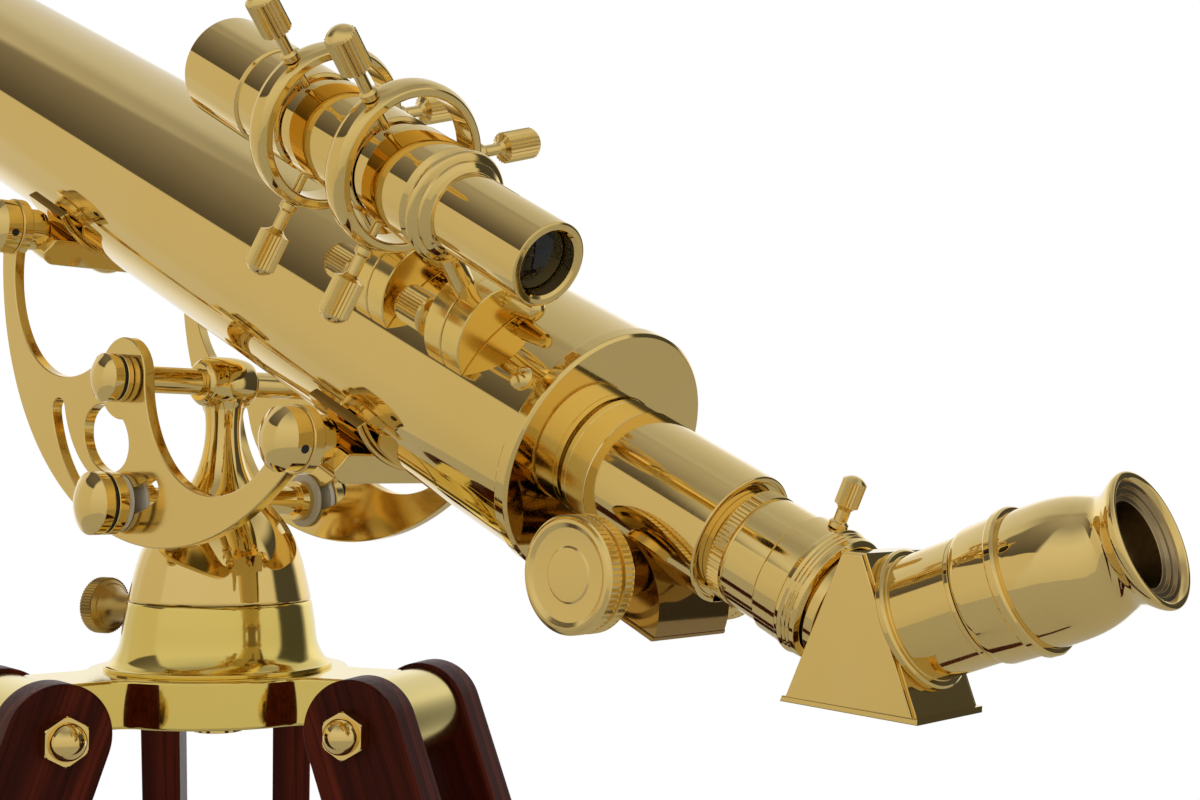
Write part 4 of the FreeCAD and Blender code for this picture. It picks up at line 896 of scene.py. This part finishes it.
FACING = Matrix((TANGENT.to_4d(), RADIAL.to_4d(), X.to_4d(), (0, 0, 0, 1))).transposed()
for row in range(3):
    FACING[3][row] = 0.0
for word, s in RING_S.items():
    here = RADIAL * FINDER_D + X * s
    for half, end in ((-1, "front"), (1, "rear")):
        plate("finder_foot_%s_%s" % (word, end), [foot_outline()], 9.3,
            TUBE @ shift(s + half * 4.85, 0, 0) @ FACING, "telescope", FOOT_HIGHLIGHT_BRASS, ("finder_feet",),
            bevel=0.5)
    t, r0, r1 = 5.0, RING_BORE, RING_R
    lathe("finder_ring_" + word, [(-t, r0, 0.9), (-t, r1 - 1.6, 0.8),
            *curve([(-t * 0.72, r1 - 0.6), (-t * 0.4, r1 - 0.12), (0, r1), (t * 0.4, r1 - 0.12),
            (t * 0.72, r1 - 0.6)], 3), (t, r1 - 1.6, 0.8), (t, r0, 0.9)], aimed(TUBE, here, X),
        "telescope", POLISHED, ("finder_rings",), segments=160)
    rim = FINDER_D - r1
    lathe("finder_post_" + word, [(50.2, 0), (50.2, 4.2), (rim - 2.0, 4.2, 0.2),
            *curve([(rim - 0.6, 4.5), (rim + 0.9, 5.6)], 4), (rim + 2.0, 5.0), (rim + 2.0, 0)],
        aimed(TUBE, X * s, RADIAL), "telescope", POLISHED, ("finder_rings",), segments=64)
    for number, degrees in enumerate((-60.0, 60.0, 180.0), 1):
        angle = math.radians(degrees)
        direction = TANGENT * math.sin(angle) - RADIAL * math.cos(angle)
        middle = FINDER_CENTRE + FINDER_AXIS * (s - MID) - here
        tip = middle.dot(direction) + b - 1.4 + GAP
        head = r1 + 10.5
        screw = "finder_screw_%s_%d" % (word, number)
        lathe("finder_thumb_%s_%d" % (word, number), [(tip, 0), (tip + 0.9, 1.6), (r1 + 0.2, 1.6, 0.1),
                (r1 + 0.2, 2.9, 0.2), (r1 + 2.4, 2.9), (r1 + 3.2, 2.0, 0.4), (head - 1.0, 2.0, 0.4),
                (head, 2.9), (head + 1.0, 4.6), (head + 1.0, 5.2, 0.1), (head + 13.2, 5.2, 0.1),
                (head + 13.2, 4.8, 0.0), *dome((head + 13.8, 4.5), head + 16.0)],
            aimed(TUBE, here, direction), screw, KNURL, (screw,), teeth=24,
            knurls=[(head + 1.0, head + 13.2, 0.55)])
    lathe("finder_clamp_thumb_" + word, [(5.0, 0), (5.0, 3.0), (9.8, 3.0), (9.8, 4.2), (11.3, 4.2),
            (12.0, 6.2), (12.6, 7.0, 0.1), (24.4, 7.0, 0.1), (24.6, 6.4), (25.6, 5.6), (25.8, 4.6),
            (25.3, 4.0), (25.3, 0)], aimed(TUBE, foot_point(12.0, 52.0) + X * s, -X),
        "finder_clamp_" + word, KNURL, ("finder_clamp_" + word,), teeth=34, knurls=[(12.6, 24.4, 0.6)])
    lathe("finder_foot_nut_" + word, [(9.52, 0), (9.52, 5.0), (11.5, 5.4, 0.2), (21.5, 3.6, 0.4),
            *dome((21.6, 3.4), 23.1)[1:]], aimed(TUBE, foot_point(-12.0, 52.0) + X * s, X), "telescope",
        KNURL, ("finder_foot_pins",), teeth=20, knurls=[(11.4, 21.6, 0.4)])


# ---- focuser -------------------------------------------------------------------------------------
RACK_SLOT = (3.35, 22.25)
lathe("focuser_ring", [(-4, 17.55), (-4, 20.2), (0.02, 20.2), (0.02, 21.4, 0.1), (0.9, 21.4, 0.1),
        (0.9, 22.2, 0.2), (3.0, 22.2, 0.1), (3.15, 21.95, 0.1), (3.3, 22.2, 0.1), (12.4, 22.2, 0.2),
        (13.0, 22.0), (13.0, 17.55)], ALONG, "telescope", HIGHLIGHT_COLLAR_BRASS, ("focuser_collar",), "brass_satin",
    segments=240, channel=RACK_SLOT)
lathe("focuser_barrel", [(13.02, 17.55), (13.02, SLEEVE_R, 0.5), (SLEEVE_END, SLEEVE_R, 0.7),
        (SLEEVE_END, 21.4, 0.2), (SLEEVE_END - 1.0, 21.2, 0.1), (SLEEVE_END - 1.0, 20.6, 0.1),
        (SLEEVE_END - 0.4, 20.4, 0.1), (SLEEVE_END - 0.4, 17.55, 0.2)], ALONG, "telescope", POLISHED,
    ("focuser_sleeve",), segments=240, channel=RACK_SLOT)
for side, word in ((-1, "near"), (1, "far")):
    a, b = KNOB_IN, KNOB_OUT
    lathe("focus_wheel_" + word, [(a, 0), (a, 14.2, 0.6), (a + 1.0, 16.4), (a + 1.0, KNOB_R - 0.8),
            (a + 1.3, KNOB_R, 0.1), (a + 5.4, KNOB_R, 0.1), (a + 5.7, KNOB_R - 0.9),
            (a + 5.7, KNOB_R - 1.8), (a + 6.9, KNOB_R - 1.8), (a + 6.9, KNOB_R - 0.9),
            (a + 7.2, KNOB_R, 0.1), (b - 1.3, KNOB_R, 0.1), (b - 1.0, KNOB_R - 0.7),
            (b - 0.25, KNOB_R - 1.5, 0.3), (b, KNOB_R - 2.6, 0.3), (b - 0.9, KNOB_R - 4.2, 0.4),
            (b - 1.5, KNOB_R - 8.0), (b - 1.6, 9.4, 0.1), (b - 1.2, 8.7, 0.2), (b - 1.0, 6.0),
            (b - 1.0, 0)], aimed(TUBE, (PINION_S, 0, -PINION_H), Y * side), "focus_shaft",
        [KNURL, FACED], ("focus_knobs",), teeth=64,
        knurls=[(a + 1.3, a + 5.4, 0.5), (a + 7.2, b - 1.3, 0.5)],
        lining=(b - 1.7, b + 0.1, KNOB_R - 2.9))

HOUSING_R = 24.7
HOUSING_HALF = 18.5
HOUSING_BASE = -37.5
COVER_T = 1.7
ARCH_DROP = 0.7             # the arch is centred this far below the housing's base
SLEEVE_SEAT_R = 20.5        # the block reaches this far into the sleeve's wall


def housing_mesh():
    """Block with an arched top ending inside the sleeve's wall, on a grid of length and width."""
    across = [HOUSING_HALF * math.sin(math.pi / 2 * t) for t in np.linspace(-1, 1, 41)]
    reach = math.sqrt(HOUSING_R ** 2 - ARCH_DROP ** 2)
    along = [reach * math.cos(math.pi * t) for t in np.linspace(1, 0, 61)]
    verts, faces = [], []
    for x in along:
        arch = HOUSING_BASE - ARCH_DROP + math.sqrt(HOUSING_R ** 2 - x * x)
        for y in across:
            seat = -math.sqrt(max(0.0, SLEEVE_SEAT_R ** 2 - y * y))
            verts.append((x, y, max(HOUSING_BASE + 0.01, min(arch, seat))))
    count, width = len(verts), len(across)
    verts += [(x, y, HOUSING_BASE) for x, y, _ in verts]
    for i in range(len(along) - 1):
        for j in range(width - 1):
            a = i * width + j
            faces.append((a, a + width, a + width + 1, a + 1))
            faces.append(tuple(count + v for v in (a, a + 1, a + width + 1, a + width)))
        for j, flip in ((0, False), (width - 1, True)):
            a, b = i * width + j, (i + 1) * width + j
            side = (a, count + a, count + b, b)
            faces.append(tuple(reversed(side)) if flip else side)
    for i, flip in ((0, True), (len(along) - 1, False)):
        for j in range(width - 1):
            a, b = i * width + j, i * width + j + 1
            side = (a, count + a, count + b, b)
            faces.append(tuple(reversed(side)) if flip else side)
    mesh = bpy.data.meshes.new("housing")
    mesh.from_pydata([(x * MM, y * MM, z * MM) for x, y, z in verts], [], faces)
    return mesh


# the block and its cover take the darker brass that paints a dark reflection
housing = linked("pinion_block", housing_mesh(), TUBE @ shift(PINION_S, 0, 0))
even_shading(housing)
finish_piece(housing, "pinion_block", "telescope", DARK_REFLECTION_BRASS, ("pinion_housing",))
half = HOUSING_HALF + 0.6
cover = [(-HOUSING_R, -half), (HOUSING_R, -half), (HOUSING_R, half), (-HOUSING_R, half)]
plate("pinion_cover", [cover], COVER_T, TUBE @ shift(PINION_S, 0, HOUSING_BASE - COVER_T / 2),
    "telescope", DARK_REFLECTION_BRASS, ("pinion_housing",), bevel=0.4)
for side, word in ((-1, "near"), (1, "far")):
    lathe("pinion_bearing_" + word, [(HOUSING_HALF - 1, 3.05), (HOUSING_HALF - 1, 9.4),
            (HOUSING_HALF, 9.4, 0.0), *curve([(HOUSING_HALF + 0.4, 8.8), (HOUSING_HALF + 1.6, 8.1),
            (HOUSING_HALF + 3.2, 7.95)], 4), (27.5, 7.9, 0.5), (27.5, 3.05)],
        aimed(TUBE, (PINION_S, 0, -PINION_H), Y * side), "telescope", POLISHED, ("pinion_housing",),
        segments=96)

lathe("draw_barrel", [(-62, 16.4), (-62, DRAW_R, 0.2), (69, DRAW_R, 0.2), (69, 16.4)], ALONG,
    "drawtube", [POLISHED, BLACK], ("drawtube",), segments=192, lining=(-70, 68, 16.6))


PITCH_R = 5.0
PINION_TEETH = 16


def rack_outline():
    """Toothed bar under the drawtube, as (distance along the tube, height)."""
    pitch = 2 * math.pi * PITCH_R / PINION_TEETH
    start, end, line = -34.0, 43.0, PITCH_R - PINION_H
    points = [(start, -DRAW_R + 1.0), (start, line + 0.6)]
    x = PINION_S - pitch * math.floor((PINION_S - start - 1.5) / pitch)
    while x + pitch < end:
        points += [(x, line + 0.51), (x + 0.16 * pitch, line - 0.3), (x + 0.52 * pitch, line - 0.3),
            (x + 0.7 * pitch, line + 0.51)]
        x += pitch
    return points + [(end, line + 0.6), (end, -DRAW_R + 1.0)]


plate("draw_rack", [rack_outline()], 6.0, TUBE @ UPRIGHT, "drawtube", POLISHED, ("drawtube",),
    bevel=0.04)
lathe("adapter_barrel", [(67.2, DRAW_R), (67.2, 18.5, 0.3), (68.0, 19.2, 0.1), (68.3, 19.5, 0.1),
        (73.2, 19.5, 0.1), (73.5, 18.6, 0.1), (74.2, 18.5, 0.1), (74.6, 19.3, 0.3), (88.0, 19.3, 0.2),
        (88.2, 18.9, 0.1), (88.7, 18.9, 0.1), (88.9, 20.4, 0.3), (98.4, 20.5, 0.4), (98.9, 21.2, 0.3),
        (100.4, 21.5, 0.4), (101.3, 20.9, 0.2), (102.0, 21.1, 0.2), (102.7, 20.7, 0.1),
        (103.4, 21.0, 0.2), (104.1, 20.6, 0.1), (104.8, 20.9, 0.2), (106.3, 20.7, 0.5),
        (107.2, 19.0, 0.4), (107.2, SOCKET_R, 0.2), (69.05, SOCKET_R), (69.05, DRAW_R)], ALONG,
    "drawtube", POLISHED, ("drawtube_adapter",), teeth=84, knurls=[(68.3, 73.2, 0.5)])
lathe("adapter_thumb", [(16.2, 0), (16.2, 1.7), (20.6, 1.7), (20.6, 3.1, 0.2), (22.2, 3.1, 0.3),
        (22.9, 2.2, 0.4), (26.6, 2.2, 0.5), (27.8, 3.0), (28.2, 3.8, 0.1), (36.2, 3.8, 0.1),
        (36.4, 3.4, 0.0), *dome((36.6, 3.2), 37.8)], aimed(TUBE, (96.5, 0, 0), Z), "adapter_screw",
    KNURL, ("adapter_screw",), teeth=22, knurls=[(28.2, 36.2, 0.4)])

# ---- diagonal and eyepiece -----------------------------------------------------------------------
EYE = aimed(TUBE, (EYE_S, 0, EYE_H), Vector((1, 0, 1)).normalized())


def shrunk(points, inset):
    """Corners of a convex polygon moved inwards by the same distance from every side."""
    middle = Vector(np.mean(points, axis=0))
    lines = []
    for p, q in zip(points, points[1:] + points[:1]):
        p, q = Vector(p), Vector(q)
        along = (q - p).normalized()
        inward = Vector((-along.y, along.x))
        if inward.dot(middle - p) < 0:
            inward.negate()
        lines.append((p + inward * inset, along))
    corners = []
    for (p, d), (q, e) in zip(lines[-1:] + lines[:-1], lines):
        step = ((q.x - p.x) * e.y - (q.y - p.y) * e.x) / (d.x * e.y - d.y * e.x)
        corners.append(tuple(p + d * step))
    return corners


box_node = ("diagonal_box",)
plate("diagonal_shell", [shrunk(DIAG_SECTION, 0.02), shrunk(DIAG_SECTION, 2.4)], 2 * (DIAG_HALF - 1.78),
    TUBE @ UPRIGHT, "diagonal", POLISHED, box_node, bevel=0.25)
for side, word in ((-1, "near"), (1, "far")):
    plate("diagonal_side_" + word, [shrunk(DIAG_SECTION, 0.6)], 1.78,
        TUBE @ shift(0, side * (DIAG_HALF - 0.89), 0) @ UPRIGHT, "diagonal", FLAT, box_node, bevel=0.35)
plate("diagonal_base", [[(DIAG_FRONT - 0.6, -28.6), (DIAG_FRONT - 0.6, -30.6), (155.3, -12.6),
        (154.6, -10.8)]], 2 * DIAG_HALF + 0.3, TUBE @ UPRIGHT, "diagonal", POLISHED, box_node,
    bevel=0.35)
lathe("diagonal_nose", [(84.0, 13.4), (84.0, NOSE_R), (108.0, NOSE_R, 0.1), (108.0, 18.6, 0.4),
        (DIAG_FRONT + 0.02, 18.6), (DIAG_FRONT + 0.02, 13.4)], ALONG, "diagonal", [POLISHED, BLACK],
    box_node, segments=128, lining=(80, 110, 13.6))
lathe("eyepiece_socket", [(0.02, SOCKET_R), (0.02, 20.8, 0.3), (0.6, 21.4, 0.4), (2.2, 21.4, 0.4),
        (2.8, 20.6), (2.8, 19.1, 0.4), (22.4, 19.1, 0.1), (22.6, 18.8, 0.1), (22.8, 19.1, 0.1),
        (24.0, 19.0, 0.3), (24.0, SOCKET_R)], EYE, "diagonal", POLISHED, ("eyepiece_holder",),
    segments=160)
body = [(2.6, 14.6), (2.6, NOSE_R, 0.3), (24.25, NOSE_R, 0.0), (24.25, 18.8, 0.3),
    *curve([(24.6, 19.4), (25.4, 20.2), (27.0, 20.6)], 3), (37.5, 20.8, 0.1), (37.6, 21.6, 0.3),
    (38.2, 22.0, 0.3), (40.2, 22.0, 0.4), (40.9, 21.4, 0.2), (41.0, 20.2, 0.1),
    *curve([(42.0, 20.3), (46.0, 20.3), (52.0, 20.0), (57.0, 19.2), (61.0, 18.0), (64.5, 16.6),
        (67.0, 15.8), (69.0, 16.0), (71.5, 17.2), (74.0, 18.9), (75.6, 19.6), (76.7, 19.5),
        (77.2, 18.6), (76.9, 17.7)], 5), (75.4, 17.0, 0.2), (75.2, 15.8, 0.2), (74.2, 15.4, 0.2),
    (74.0, 14.2, 0.2), (73.0, 13.8, 0.2), (72.6, 12.4, 0.3)]
lathe("eyepiece_shell", body + [(62.0, 11.6), (54.0, 10.4), (22.0, 10.4), (18.0, 14.6)], EYE,
    "eyepiece", [MIRROR, BORE], ("eyepiece_body",), segments=192, lining=(2.0, 76.0, 17.4))
lathe("eye_lens", [(56.4, 0), (56.4, 11.4), (58.6, 11.4, 0.1), *dome((58.6, 11.3), 61.6)], EYE,
    "eyepiece", LENS, ("eyepiece_lenses",), "glass", segments=96, corner=0.1)
lathe("field_lens", [(6.0, 0), (6.0, 14.5), (8.0, 14.5, 0.1), *dome((8.0, 14.4), 11.2)], EYE,
    "eyepiece", LENS, ("eyepiece_lenses",), "glass", segments=96, corner=0.1)

# ---- nodes kept from the frame -------------------------------------------------------------------
KEPT = {"rear_screws": (POLISHED, 0.25), "pinion": (POLISHED, 0.0), "diagonal_prism": (LENS, 0.0)}
for node, (paint, round_over) in KEPT.items():
    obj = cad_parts[node]
    obj.data.materials.clear()
    obj.data.materials.append(paint)
    if round_over:
        bevel = obj.modifiers.new("round", "BEVEL")
        bevel.width = round_over * MM
        bevel.segments = 3
        bevel.limit_method = "ANGLE"
        bevel.angle_limit = math.radians(32)
        bevel.harden_normals = True


# ---- studio --------------------------------------------------------------------------------------
WALL_BEARING = 133.0
BAND_BEARING = -138.0
FLAG_BEARING = 66.0


def studio():
    """Soft surroundings by bearing and elevation: a bright wall behind, a zone with a dark band above a
    warm one, a narrow dark flag, and plain soft light elsewhere. The camera itself sees white."""
    world = bpy.data.worlds.new("studio")
    world.use_nodes = True
    world.node_tree.nodes.clear()
    nodes = Nodes(world.node_tree)
    direction = nodes.add("ShaderNodeTexCoord").outputs["Generated"]
    x, y, z = nodes.add("ShaderNodeSeparateXYZ", Vector=direction).outputs
    height = nodes.math("ADD", nodes.math("DIVIDE", nodes.math("ARCSINE", z), math.pi), 0.5)
    bearing = nodes.math("ARCTAN2", y, x)

    def zone(middle, edge, full):
        """1 round the middle bearing, 0 away from it; edge and full are cosines of the angle off it."""
        toward = nodes.math("COSINE", nodes.math("SUBTRACT", bearing, math.radians(middle)))
        return nodes.ramp(toward, [(edge, 0.0), (full, 1.0)], "EASE")

    behind = zone(WALL_BEARING, 0.60, 0.86)
    banded = zone(BAND_BEARING, 0.90, 0.94)
    beside = zone(FLAG_BEARING, 0.88, 0.935)
    level = nodes.ramp(height, [(0.37, 0.0), (0.40, 1.0), (0.68, 1.0), (0.74, 0.0)], "EASE")
    flag = nodes.math("MULTIPLY", nodes.math("MULTIPLY", beside, level), 0.92)

    def levels(rows):
        """Ramp stops from (degrees above the horizon, colour) rows."""
        return [((elevation + 90) / 180, colour) for elevation, colour in rows]

    front = nodes.ramp(height, levels([(-90, (0.42, 0.41, 0.38)), (-40, (0.50, 0.48, 0.42)),
            (-15, (0.58, 0.53, 0.41)), (0, (0.64, 0.58, 0.44)), (24, (0.65, 0.59, 0.45)),
            (24.6, (0.100, 0.088, 0.082)), (32, (0.135, 0.120, 0.112)), (45, (0.21, 0.19, 0.18)),
            (58, (0.31, 0.29, 0.28)), (72, (0.41, 0.39, 0.38)), (85, (0.49, 0.48, 0.47)),
            (90, (0.53, 0.53, 0.52))]))
    back = nodes.ramp(height, levels([(-90, 0.45), (-40, 0.6), (-12, 0.88), (2, 0.95), (10, 1.05),
            (17, 1.05), (26, 0.80), (40, 0.70), (60, 0.58), (75, 0.50), (90, 0.53)]))
    side = nodes.ramp(height, levels([(-90, (0.42, 0.41, 0.38)), (-40, (0.50, 0.48, 0.43)),
            (-15, (0.60, 0.56, 0.46)), (10, (0.70, 0.66, 0.56)), (30, (0.74, 0.71, 0.63)),
            (45, (0.62, 0.60, 0.55)), (60, (0.38, 0.37, 0.36)), (72, (0.38, 0.36, 0.35)),
            (85, (0.48, 0.47, 0.46)), (90, (0.53, 0.53, 0.52))]))
    light = nodes.mix(behind, nodes.mix(banded, nodes.mix(flag, side, (0.02, 0.02, 0.02)), front), back)
    seen = nodes.add("ShaderNodeLightPath").outputs["Is Camera Ray"]
    background = nodes.add("ShaderNodeBackground", Color=nodes.mix(seen, light, (1.0, 1.0, 1.0)))
    output = nodes.add("ShaderNodeOutputWorld")
    world.node_tree.links.new(background.outputs[0], output.inputs["Surface"])
    return world


scene = bpy.context.scene
scene.world = studio()
scene.view_settings.view_transform = "Standard"

FLOOR_R = 3.2       # metres
FLOOR_SIDES = 96
rim = [(x, y, 0.0) for x, y in arc(0, 0, FLOOR_R, 0, 360, FLOOR_SIDES)[:-1]]
mesh = bpy.data.meshes.new("floor")
mesh.from_pydata(rim, [], [tuple(range(FLOOR_SIDES))])
floor = linked("floor", mesh, WORLD)
floor.data.materials.append(plain("floor_paint", (0.86, 0.86, 0.85), 0.6, 60.0, 0.00002))
floor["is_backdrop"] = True

CAMERA_AT = (614.0, -428.9, Z_ALT - 35.6)
CAMERA_PAN, CAMERA_TILT, CAMERA_ROLL = 42.2, 92.3, 0.4
CAMERA_LENS = 49.5
camera = bpy.data.objects.new("camera", bpy.data.cameras.new("camera"))
scene.collection.objects.link(camera)
camera.data.lens = CAMERA_LENS
camera.data.sensor_width = 36.0
camera.data.clip_end = 50.0
aim = spin(CAMERA_PAN, "Z") @ spin(CAMERA_TILT, "X") @ spin(CAMERA_ROLL, "Z")
camera.matrix_world = shift(*CAMERA_AT) @ aim
scene.camera = camera

low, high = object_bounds()
